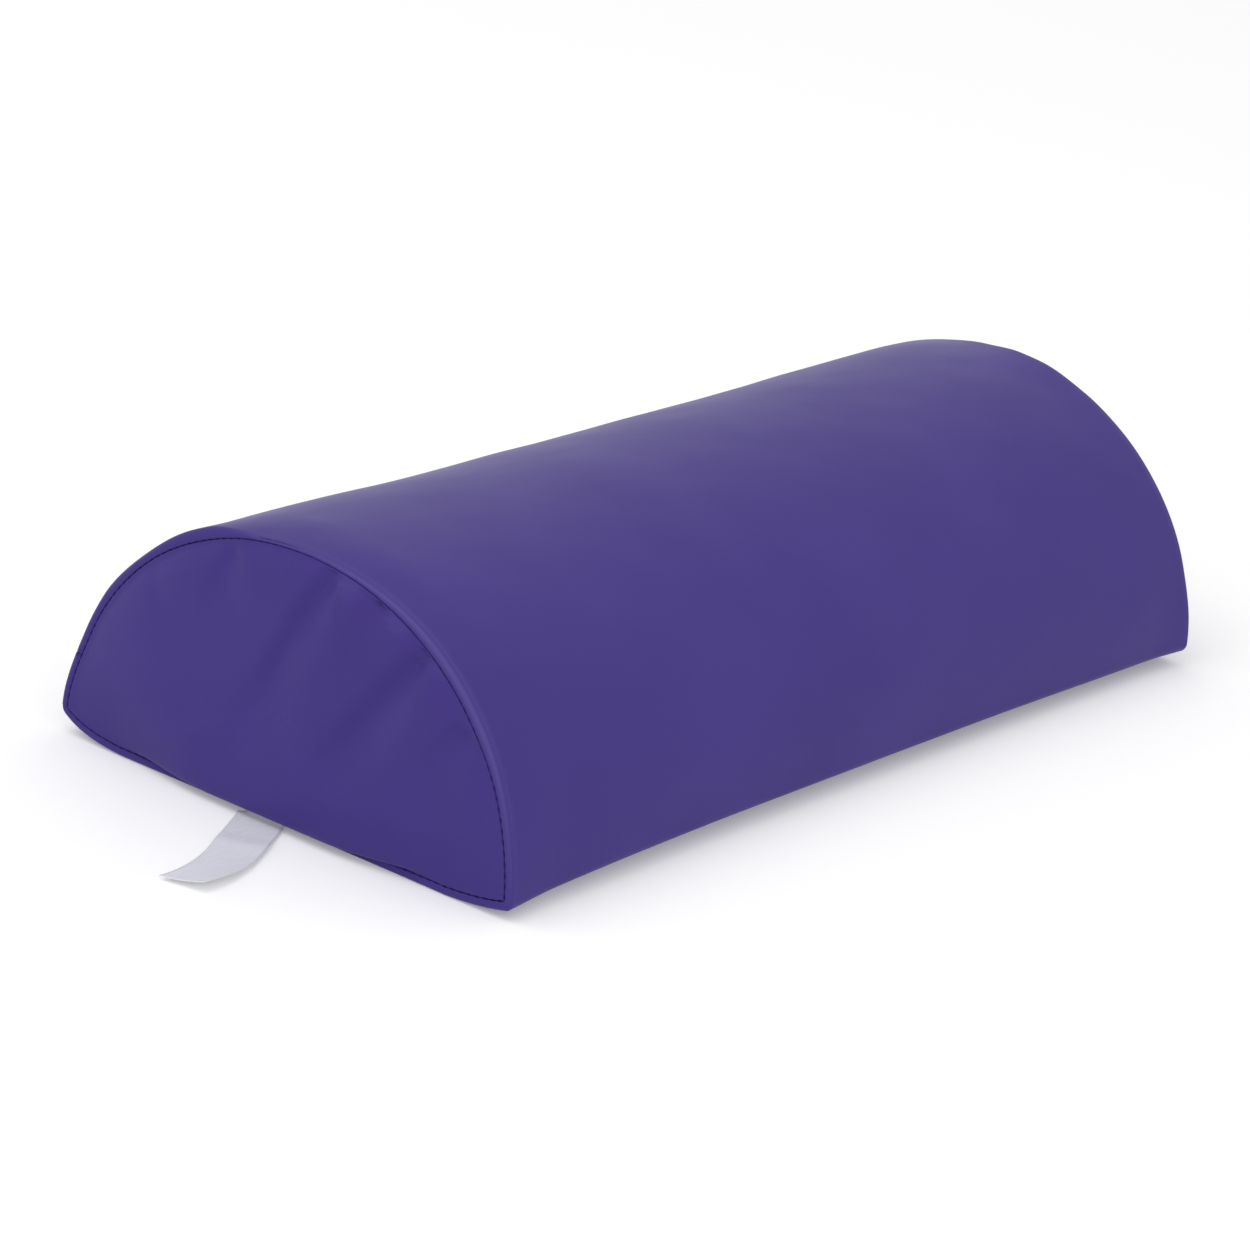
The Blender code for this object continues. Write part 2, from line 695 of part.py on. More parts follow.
def build_zip(collection, helpers):
    """The zip's tapes, rows of teeth, stops, slider and pull tab, placed in the zip's frame."""
    frame = zip_frame()
    top, bottom = tape_levels()
    inner = CHAIN_WIDTH / 2 + CLEARANCE
    for name, side in (("upper", -1), ("lower", 1)):
        near, far = sorted((side * inner, side * (inner + TAPE_WIDTH)))
        tape = box_mesh((-tape_end(), near, bottom), (tape_end(), far, top), "tape")
        new_object("zip_tape_" + name, tape, "tape", collection, frame)
        level = Matrix.Translation((0, 0, sum(chain_levels()) / 2))
        teeth = outline_mesh("teeth", [teeth_outline(side)], CHAIN_THICKNESS, level)
        new_object("zip_teeth_" + name, teeth, "moulded_teeth", collection, frame)
        stop_place = -(chain_end() + CLEARANCE + STOP_LENGTH / 2)
        stop_matrix = across_zip(stop_place)
        stop_outline = [(side * across, height) for across, height in clip_outline(False)]
        stop = outline_mesh("stop", [stop_outline], STOP_LENGTH, stop_matrix)
        new_object("zip_top_stop_" + name, stop, "nickel", collection, frame)
    stop_matrix = across_zip(chain_end() + CLEARANCE + STOP_LENGTH / 2)
    stop = outline_mesh("stop", [clip_outline(True)], STOP_LENGTH, stop_matrix)
    new_object("zip_bottom_stop", stop, "nickel", collection, frame)
    carriage = bpy.data.objects.new("zip_slider_place", None)
    collection.objects.link(carriage)
    carriage.matrix_world = frame @ Matrix.Translation((slider_rest(), 0, 0))
    slider = build_slider(collection, helpers)
    slider.parent = carriage
    tab_mesh = outline_mesh("tab", tab_outlines(), TAB_THICKNESS, chamfer=TAB_CHAMFER)
    tab = new_object("zip_pull_tab", tab_mesh, "nickel", collection)
    tab.parent = carriage
    tab.location = (0, 0, tab_level())


def label_mesh():
    """The label's upper face, from the seam down to the floor and out to its curled tip."""
    root = HALF_LENGTH - LABEL_ROOT_DEPTH
    root_level = (2 * ROLL_ROUND + panel_edge_inset()) / 2
    drop = root_level - LABEL_FLOOR_LEVEL
    curl = LABEL_TIP_LEVEL - LABEL_FLOOR_LEVEL
    tables = (LABEL_PLACE_SHARES, LABEL_DROP_SHARES, LABEL_CURL_SHARES, LABEL_DRIFT_SHARES)
    shape = bmesh.new()
    before = None
    for place, drop_share, curl_share, drift in zip(*tables):
        x = -root - place * LABEL_LENGTH
        y = LABEL_ROOT_PLACE - drift * LABEL_DRIFT
        z = LABEL_FLOOR_LEVEL + drop_share * drop + curl_share * curl + LABEL_SHEET / 2
        row = [shape.verts.new((x, y + side * LABEL_WIDTH / 2, z)) for side in (-1, 0, 1)]
        if before:
            for step in (0, 1):
                shape.faces.new((before[step], before[step + 1], row[step + 1], row[step]))
        before = row
    return finish_mesh(shape, "label")


def build_cover(collection):
    """The sleeve, the two end panels and the label."""
    sleeve = new_object("cover_sleeve", sleeve_mesh(), "leatherette", collection)
    add_thickness(sleeve, SHEET)
    for name, side in (("left", -1), ("right", 1)):
        panel = new_object("end_panel_" + name, panel_mesh(side), "leatherette", collection)
        add_thickness(panel, SHEET)
    label = new_object("label", label_mesh(), "satin", collection)
    add_thickness(label, LABEL_SHEET)


def main():
    clear_scene()
    collection = new_collection(PART_COLLECTION)
    helpers = new_collection(HELPER_COLLECTION)
    new_object("foam_core", foam_mesh(), "foam", collection)
    build_cover(collection)
    build_zip(collection, helpers)


main()
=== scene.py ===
"""A half-round bolster dressed for its studio picture.

A purple leatherette cover over firm foam: a sleeve with rolled ends, two crowned end panels sewn into it, a bare
satin label at one end and a zip low on the rear side. Sizes are in metres; +X runs along the bolster away from the
label, +Y towards the zip and +Z up.
"""

import logging
import math
from dataclasses import dataclass, field
from enum import Enum

import bmesh
import bpy
import numpy as np
from mathutils import Matrix


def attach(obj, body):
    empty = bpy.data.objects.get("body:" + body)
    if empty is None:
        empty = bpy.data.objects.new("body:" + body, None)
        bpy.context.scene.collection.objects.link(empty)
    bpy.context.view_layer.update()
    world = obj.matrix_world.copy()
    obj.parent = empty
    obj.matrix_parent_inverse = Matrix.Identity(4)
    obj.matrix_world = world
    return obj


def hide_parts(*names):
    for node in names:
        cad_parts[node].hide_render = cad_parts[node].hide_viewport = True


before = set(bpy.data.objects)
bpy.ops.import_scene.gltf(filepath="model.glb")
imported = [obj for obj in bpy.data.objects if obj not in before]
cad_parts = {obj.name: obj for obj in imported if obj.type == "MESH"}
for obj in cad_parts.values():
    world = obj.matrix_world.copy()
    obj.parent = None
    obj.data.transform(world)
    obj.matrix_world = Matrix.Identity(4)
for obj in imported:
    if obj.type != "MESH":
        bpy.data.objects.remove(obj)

LOG = logging.getLogger("bolster")
Array = np.ndarray
Faces = list[list[int]]
Pair = tuple[float, float]
Triple = tuple[float, float, float]
Table = tuple[Pair, ...]
Material = bpy.types.Material
Piece = bpy.types.Object
Socket = bpy.types.NodeSocket
Value = Socket | float | tuple[float, ...]
Inputs = dict[str | int, Value]
LENGTHWISE = np.array((1.0, 0.0, 0.0))
MIRROR = np.array((-1.0, 1.0, 1.0))


class End(Enum):
    """The two ends of the bolster, as the sign of their place along X."""

    LABEL = -1
    PLAIN = 1


class Slot(Enum):
    """Material slots of the record that the pieces take their finish from."""

    FOAM = "foam"
    LEATHERETTE = "leatherette"
    SATIN = "satin"
    TAPE = "zip_tape"
    TEETH = "moulded_teeth"
    NICKEL = "nickel"


def ease(value: Array, low: float, high: float) -> Array:
    """Eases from 0 at low to 1 at high: three times the squared share less twice its cube."""
    share = np.clip((np.asarray(value, dtype=float) - low) / (high - low), 0.0, 1.0)
    return share * share * (3.0 - 2.0 * share)


def bell(value: Array, centre: float, spread: float) -> Array:
    """Bell curve of height 1: e to the minus squared distance from the centre in spreads."""
    return np.exp(-(((np.asarray(value, dtype=float) - centre) / spread) ** 2))


def rounded(value: Array, power: float) -> Array:
    """Power of a value's size with its sign kept, which squares off the cosine or sine of a circle."""
    return np.sign(value) * np.abs(value) ** power


def unit(vectors: Array) -> Array:
    """Vectors of the same directions with a length of 1."""
    return vectors / np.linalg.norm(vectors, axis=-1, keepdims=True)


def eased_table(value: Array, table: Table) -> Array:
    """Looks values up in a table of places and amounts, and eases from each amount to the next.

    Args:
        value: Numbers to look up.
        table: Pairs of a place and its amount, with the places in rising order.

    Returns:
        The amounts, as an array of the same shape.
    """
    places, amounts = np.array(table).T
    after = np.clip(np.searchsorted(places, value), 1, len(places) - 1)
    share = ease((value - places[after - 1]) / (places[after] - places[after - 1]), 0.0, 1.0)
    return amounts[after - 1] + (amounts[after] - amounts[after - 1]) * share


def waves(points: Array, length: float, seed: int, count: int = 9) -> Array:
    """Gentle unevenness: the mean of plane waves of about one length in seeded directions.

    Args:
        points: Places in space, with x, y and z on the last axis.
        length: Mean wave length.
        seed: Seed of the directions, lengths and phases.
        count: Number of waves.

    Returns:
        Values of about -1 to 1, one for each place.
    """
    rng = np.random.default_rng(seed)
    ways = unit(rng.normal(size=(count, 3)))
    ways *= 2.0 * math.pi / (length * rng.uniform(0.7, 1.4, size=(count, 1)))
    phases = rng.uniform(0.0, 2.0 * math.pi, size=count)
    return np.sin(points @ ways.T + phases).sum(axis=-1) / math.sqrt(count * 2.0)


def grid_faces(rows: int, columns: int, closed_rows: bool = False, first: int = 0) -> Faces:
    """Quads of a grid whose points are numbered row by row.

    Args:
        rows: Number of rows.
        columns: Number of points in a row.
        closed_rows: Whether each row ends where it starts.
        first: First point of the grid.

    Returns:
        The quads, which look towards row direction cross column direction, reversed.
    """
    across = columns if closed_rows else columns - 1
    row, column = np.meshgrid(np.arange(rows - 1), np.arange(across), indexing="ij")
    after = (column + 1) % columns
    quads = (row * columns + column, row * columns + after, (row + 1) * columns + after, (row + 1) * columns + column)
    return (first + np.stack(quads, axis=-1).reshape(-1, 4)).tolist()


def stitched_faces(coarse: int, fine: int, points: int, edges: int, coarse_first: bool = True,
                   closed_rows: bool = True) -> Faces:
    """Faces that join a coarse row to a fine one, with several fine edges to each coarse edge.

    Args:
        coarse: First point of the coarse row.
        fine: First point of the fine row.
        points: Points in the coarse row.
        edges: Fine edges to each coarse edge.
        coarse_first: Whether the coarse row comes before the fine one.
        closed_rows: Whether each row ends where it starts.

    Returns:
        The faces, wound like those of grid_faces.
    """
    spans = points if closed_rows else points - 1
    total = points * edges if closed_rows else spans * edges + 1
    place = np.arange(spans)[:, None]
    low = coarse + np.concatenate((place, (place + 1) % points), axis=1)
    high = fine + (place * edges + np.arange(edges + 1)[None, :]) % total
    pair = (low, high[:, ::-1]) if coarse_first else (high, low[:, ::-1])
    return np.concatenate(pair, axis=1).tolist()


def tube_faces(count: int, rings: int, around: int) -> Faces:
    """Faces of equal tubes with flat caps, whose points are numbered tube by tube and ring by ring.

    Args:
        count: Number of tubes.
        rings: Rings of each tube.
        around: Points of each ring.

    Returns:
        The quads of all the tubes, then their caps.
    """
    each = rings * around
    first = (np.arange(count) * each)[:, None, None]
    ring = np.arange(around)
    quads = np.array(grid_faces(rings, around, True)) + first
    caps = np.stack((ring[::-1], ring + each - around)) + first
    return quads.reshape(-1, 4).tolist() + caps.reshape(-1, around).tolist()


def fan_faces(tip: int, first: int, count: int, reverse: bool = False) -> Faces:
    """Triangles between a closed row and a point inside it.

    Args:
        tip: Number of the point.
        first: Number of the row's first point.
        count: Points in the row.
        reverse: Whether the faces are wound along the row.

    Returns:
        The triangles.
    """
    ring = np.arange(count)[:, None]
    after = (ring + 1) % count
    pair = (ring, after) if reverse else (after, ring)
    return np.concatenate((pair[0] + first, pair[1] + first, np.full_like(ring, tip)), axis=1).tolist()


def link(name: str, data: bpy.types.ID) -> Piece:
    """Puts a mesh, light or camera into the scene.

    Args:
        name: Name of the object.
        data: The mesh, light or camera.

    Returns:
        The new object.
    """
    made = bpy.data.objects.new(name, data)
    bpy.context.scene.collection.objects.link(made)
    return made


def make_piece(name: str, points: Array, faces: Faces, finish: Material) -> Piece:
    """Wraps points and faces as a smooth piece at the origin.

    Args:
        name: Name of the piece.
        points: Its points, with x, y and z on the last axis.
        faces: Point numbers of each face.
        finish: Material of the piece.

    Returns:
        The new object, linked to the scene.
    """
    mesh = bpy.data.meshes.new(name)
    mesh.from_pydata(np.asarray(points, dtype=float).reshape(-1, 3).tolist(), [], faces)
    mesh.update()
    mesh.shade_smooth()
    mesh.materials.append(finish)
    return link(name, mesh)


def turn_outward(mesh: bpy.types.Mesh, merge: bool = False) -> None:
    """Turns the faces of a closed mesh outwards.

    Args:
        mesh: Mesh to change.
        merge: Whether double points are merged and flat faces joined first.
    """
    shape = bmesh.new()
    shape.from_mesh(mesh)
    if merge:
        bmesh.ops.remove_doubles(shape, verts=shape.verts, dist=0.000002)
        bmesh.ops.dissolve_limit(shape, angle_limit=math.radians(1.0), verts=shape.verts, edges=shape.edges)
    bmesh.ops.recalc_face_normals(shape, faces=shape.faces)
    shape.to_mesh(mesh)
    shape.free()


def highlight_and_polish(piece: Piece, highlight_and_polish_weight: Array) -> None:
    """Stores a weight at each point, from 0 to 1, for the leatherette's painted highlight and its extra gloss."""
    layer = piece.data.attributes.new(Leatherette.highlight_and_polish_weight, "FLOAT", "POINT")
    layer.data.foreach_set("value", np.asarray(highlight_and_polish_weight, dtype=np.float32).reshape(-1))


def thicken(piece: Piece, thickness: float) -> None:
    """Gives a sheet whose faces look outwards its thickness on the inner side."""
    modifier = piece.modifiers.new("Sheet", "SOLIDIFY")
    modifier.thickness, modifier.offset = thickness, -1.0


def seat(piece: Piece, body: str, slot: Slot, *nodes: str) -> None:
    """Makes a piece ride on its body, hides the solids that it stands for, and reports it.

    Args:
        piece: The finished piece.
        body: Body that carries it.
        slot: Slot that its finish comes from; not used.
        nodes: Solids that it stands for.
    """
    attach(piece, body)
    if nodes:
        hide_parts(*nodes)
    LOG.info("%s: %d points, %d faces", piece.name, len(piece.data.vertices), len(piece.data.polygons))


@dataclass
class Nodes:
    """A node tree that takes its nodes in a short form."""

    tree: bpy.types.NodeTree

    def fill(self, node: bpy.types.Node, inputs: Inputs) -> None:
        """Links or sets a node's inputs.

        Args:
            node: Node to fill.
            inputs: A node's output or a plain value for each input.
        """
        for name, value in inputs.items():
            if isinstance(value, Socket):
                self.tree.links.new(value, node.inputs[name])
            else:
                node.inputs[name].default_value = value

    def add(self, kind: str, output: str, inputs: Inputs, **settings: str | bool) -> Socket:
        """Adds a node.

        Args:
            kind: Type of the node.
            output: Name of the output that is used.
            inputs: A node's output or a plain value for each input.
            settings: Other properties of the node.

        Returns:
            The output.
        """
        node = self.tree.nodes.new(kind)
        for name, value in settings.items():
            setattr(node, name, value)
        self.fill(node, inputs)
        return node.outputs[output]

    def place(self, along: float = 1.0) -> Socket:
        """Object coordinates, scaled along X."""
        source = self.add("ShaderNodeTexCoord", "Object", {})
        return self.add("ShaderNodeMapping", "Vector", {"Scale": (along, 1.0, 1.0), "Vector": source})

    def noise(self, vector: Socket, scale: float, detail: float) -> Socket:
        """Soft noise at this many waves a metre, with this many finer layers."""
        return self.add("ShaderNodeTexNoise", "Fac", {"Scale": scale, "Detail": detail, "Vector": vector})

    def cells(self, vector: Socket, scale: float, feature: str = "F1", **more: float) -> Socket:
        """Distance to the middles of cells, at this many cells a metre."""
        inputs = {"Scale": scale, "Vector": vector, **more}
        return self.add("ShaderNodeTexVoronoi", "Distance", inputs, feature=feature)

    def wave(self, scale: float, direction: str, distortion: float = 0.0) -> Socket:
        """Soft bands that follow each other in this direction."""
        inputs = {"Scale": scale, "Distortion": distortion, "Vector": self.place()}
        return self.add("ShaderNodeTexWave", "Fac", inputs, bands_direction=direction)

    def span(self, value: Socket, low: float, high: float, start: float = 0.3, stop: float = 0.7) -> Socket:
        """Maps a value from start and stop to low and high."""
        inputs = {"From Min": start, "From Max": stop, "To Min": low, "To Max": high, "Value": value}
        return self.add("ShaderNodeMapRange", "Result", inputs)

    def blend(self, factor: Socket, low: Value, high: Value) -> Socket:
        """Mixes two colours: the first where the factor is 0 and the second where it is 1."""
        return self.add("ShaderNodeMix", "Result", {"A": low, "B": high, "Factor": factor}, data_type="RGBA")

    def math(self, operation: str, first: Value, second: Value, **settings: bool) -> Socket:
        """Combines two values."""
        return self.add("ShaderNodeMath", "Value", {0: first, 1: second}, operation=operation, **settings)

    def relief(self, height: Socket, depth: float, strength: float, **under: Socket) -> Socket:
        """Normal of a surface that a height of 0 to 1 raises, over the Normal of a coarser relief if one is given."""
        inputs = {"Distance": depth, "Strength": strength, "Height": height, **under}
        return self.add("ShaderNodeBump", "Normal", inputs)


@dataclass(frozen=True)
class Finish:
    """A procedural finish: plain values, and a look that varies them over the piece.

    The relief is a depth in metres and a strength. The shades are shares of the colour's brightness where a pattern
    is 0 and 1, and the glosses are what the roughness changes by where the pattern is low and high.
    """

    name: str
    colour: Triple
    roughness: float
    metallic: float = 0.0
    specular: float = 0.5
    sheen: float = 0.0
    sheen_roughness: float = 0.4
    relief: Pair = (0.0, 0.0)
    shades: Pair = (1.0, 1.0)
    glosses: Pair = (0.0, 0.0)

    def material(self) -> Material:
        """Builds the material: first the values that are the same all over, then the look.

        Returns:
            The material.
        """
        made = bpy.data.materials.new(self.name)
        made.use_nodes = True
        made.diffuse_color = (*self.colour, 1.0)
        nodes, shader = Nodes(made.node_tree), made.node_tree.nodes["Principled BSDF"]
        nodes.fill(shader, {
            "Base Color": (*self.colour, 1.0), "Roughness": self.roughness, "Metallic": self.metallic,
            "Specular IOR Level": self.specular, "Sheen Weight": self.sheen, "Sheen Roughness": self.sheen_roughness})
        nodes.fill(shader, self.look(nodes))
        return made

    def look(self, nodes: Nodes) -> Inputs:
        """Inputs of the shader that vary over the piece: none in the plain finish."""
        return {}

    def varied(self, nodes: Nodes, height: Socket, pattern: Socket, **more: Socket) -> Inputs:
        """Relief from a height and shade from a pattern, with other inputs of the shader."""
        return {"Normal": nodes.relief(height, *self.relief), "Base Color": self.shade(nodes, pattern), **more}

    def shade(self, nodes: Nodes, pattern: Socket) -> Socket:
        """The colour, from the first shade where the pattern is 0 to the second where it is 1."""
        ends = [(*(min(1.0, part * share) for part in self.colour), 1.0) for share in self.shades]
        return nodes.blend(pattern, *ends)

    def gloss(self, nodes: Nodes, pattern: Socket) -> Socket:
        """The roughness, changed by the first gloss where the pattern is low and by the second where it is high."""
        return nodes.span(pattern, *(self.roughness + change for change in self.glosses))


@dataclass(frozen=True)
class Leatherette(Finish):
    """Smooth coated cloth with a fine pebbled grain, more glossy on its crests, where a highlight is painted in a
    lighter colour.
    """

    relief: Pair = (0.00003, 0.55)
    shades: Pair = (0.97, 1.05)
    glosses: Pair = (0.03, -0.03)
    grain_scale: float = 1150.0
    fine_scale: float = 1150.0 * 2.2
    cloud_scale: float = 18.0
    pull_scale: float = 55.0
    pull_relief: Pair = (0.0004, 0.25)
    # Attribute that weights the painted highlight and the extra gloss, and the lighter colour that the highlight is
    # painted in.
    highlight_and_polish_weight: str = "highlight_and_polish_weight"
    painted_highlight_colour: Triple = (0.086, 0.064, 0.262)
    tight_gloss: float = 0.10

    def look(self, nodes: Nodes) -> Inputs:
        """Cell grain with fine noise over a soft pull, slow changes of shade and gloss, and a painted highlight with
        more gloss on the crests.

        Args:
            nodes: Nodes of the material.

        Returns:
            The shader's inputs.
        """
        vector = nodes.place()
        grain = nodes.cells(vector, self.grain_scale, feature="SMOOTH_F1", Smoothness=0.35)
        height = nodes.math("ADD", grain, nodes.span(nodes.noise(vector, self.fine_scale, 1.0), 0.0, 0.25))
        pull = nodes.relief(nodes.noise(vector, self.pull_scale, 3.0), *self.pull_relief)
        crest = nodes.add("ShaderNodeAttribute", "Fac", {}, attribute_name=self.highlight_and_polish_weight)
        cloud = nodes.noise(vector, self.cloud_scale, 3.0)
        under = self.shade(nodes, nodes.span(cloud, 0.0, 1.0))
        highlight_and_polish = nodes.math("MULTIPLY", crest, self.tight_gloss)
        # Painted highlight: the colour goes over to the lighter one where the attribute is high, and the roughness
        # drops there.
        return {"Base Color": nodes.blend(crest, under, (*self.painted_highlight_colour, 1.0)),
                "Roughness": nodes.math("SUBTRACT", self.gloss(nodes, cloud), highlight_and_polish),
                "Normal": nodes.relief(height, *self.relief, Normal=pull)}


@dataclass(frozen=True)
class Thread(Finish):
    """Twisted sewing thread, in the colour of what it sews."""

    relief: Pair = (0.00006, 0.6)
    shades: Pair = (0.8, 1.15)
    twist_scale: float = 2600.0 / 6.0

    def look(self, nodes: Nodes) -> Inputs:
        """Slanting plies as fine bands, with painted shade in the grooves and a painted highlight on their tops."""
        band = nodes.wave(self.twist_scale, "DIAGONAL", 1.0)
        return self.varied(nodes, band, band)


@dataclass(frozen=True)
class Satin(Finish):
    """Woven satin ribbon: long floats along it that catch the light, and a fine cross rib."""

    relief: Pair = (0.00004, 0.5)
    shades: Pair = (0.93, 1.03)
    glosses: Pair = (0.06, -0.06)
    rib_scale: float = 520.0
    float_scale: float = 1560.0
    float_stretch: float = 0.12

    def look(self, nodes: Nodes) -> Inputs:
        """Streaks along the ribbon, fine ribs across it and a faint change of shade.

        Args:
            nodes: Nodes of the material.

        Returns:
            The shader's inputs.
        """
        streaks = nodes.noise(nodes.place(self.float_stretch), self.float_scale, 2.0)
        height = nodes.math("ADD", streaks, nodes.math("MULTIPLY", nodes.wave(self.rib_scale, "X"), 0.5))
        return self.varied(nodes, height, nodes.span(streaks, 0.0, 1.0), Roughness=self.gloss(nodes, streaks))


@dataclass(frozen=True)
class Weave(Finish):
    """Plain woven tape: threads over and under each other."""

    relief: Pair = (0.0001, 0.8)
    shades: Pair = (0.75, 1.2)
    thread_scale: float = 900.0 / 6.0

    def look(self, nodes: Nodes) -> Inputs:
        """The product of two crossed bands gives the height and a painted shade that is darkest where the threads dip
        under each other.
        """
        height = nodes.math("MULTIPLY", nodes.wave(self.thread_scale, "X"), nodes.wave(self.thread_scale, "Z"))
        return self.varied(nodes, height, height)


@dataclass(frozen=True)
class Foam(Finish):
    """Open-cell foam: rounded pores of two sizes."""

    relief: Pair = (0.0004, 0.8)
    shades: Pair = (0.8, 1.08)
    pore_scales: Pair = (900.0, 360.0)

    def look(self, nodes: Nodes) -> Inputs:
        """Cell distances of two scales give the pores, with painted shade in them."""
        height = nodes.math("ADD", *(nodes.cells(nodes.place(), scale) for scale in self.pore_scales))
        return self.varied(nodes, height, nodes.span(height, 0.0, 1.0, 0.2, 1.2))


@dataclass(frozen=True)
class Moulded(Finish):
    """Moulded plastic with a faint mottle and flow marks."""

    relief: Pair = (0.00003, 0.4)
    shades: Pair = (0.9, 1.12)
    glosses: Pair = (-0.06, 0.06)
    mottle_scale: float = 700.0

    def look(self, nodes: Nodes) -> Inputs:
        """Soft noise changes the shade, gloss and relief a little."""
        mottle = nodes.noise(nodes.place(), self.mottle_scale, 3.0)
        return self.varied(nodes, mottle, mottle, Roughness=self.gloss(nodes, mottle))


@dataclass(frozen=True)
class Nickel(Finish):
    """Nickel plating over a brushed die casting."""

    relief: Pair = (0.00001, 0.35)
    shades: Pair = (0.88, 1.04)
    glosses: Pair = (-0.06, 0.08)
    brush_scale: float = 2400.0
    brush_stretch: float = 0.08
    wear_scale: float = 260.0
    wear_gloss: float = 0.10

    def look(self, nodes: Nodes) -> Inputs:
        """Fine streaks along X roughen it, and worn patches dull it.

        Args:
            nodes: Nodes of the material.

        Returns:
            The shader's inputs.
        """
        streaks = nodes.noise(nodes.place(self.brush_stretch), self.brush_scale, 2.0)
        wear = nodes.noise(nodes.place(), self.wear_scale, 3.0)
        rough = nodes.math("ADD", self.gloss(nodes, streaks), nodes.span(wear, 0.0, self.wear_gloss))
        return self.varied(nodes, streaks, wear, Roughness=rough)


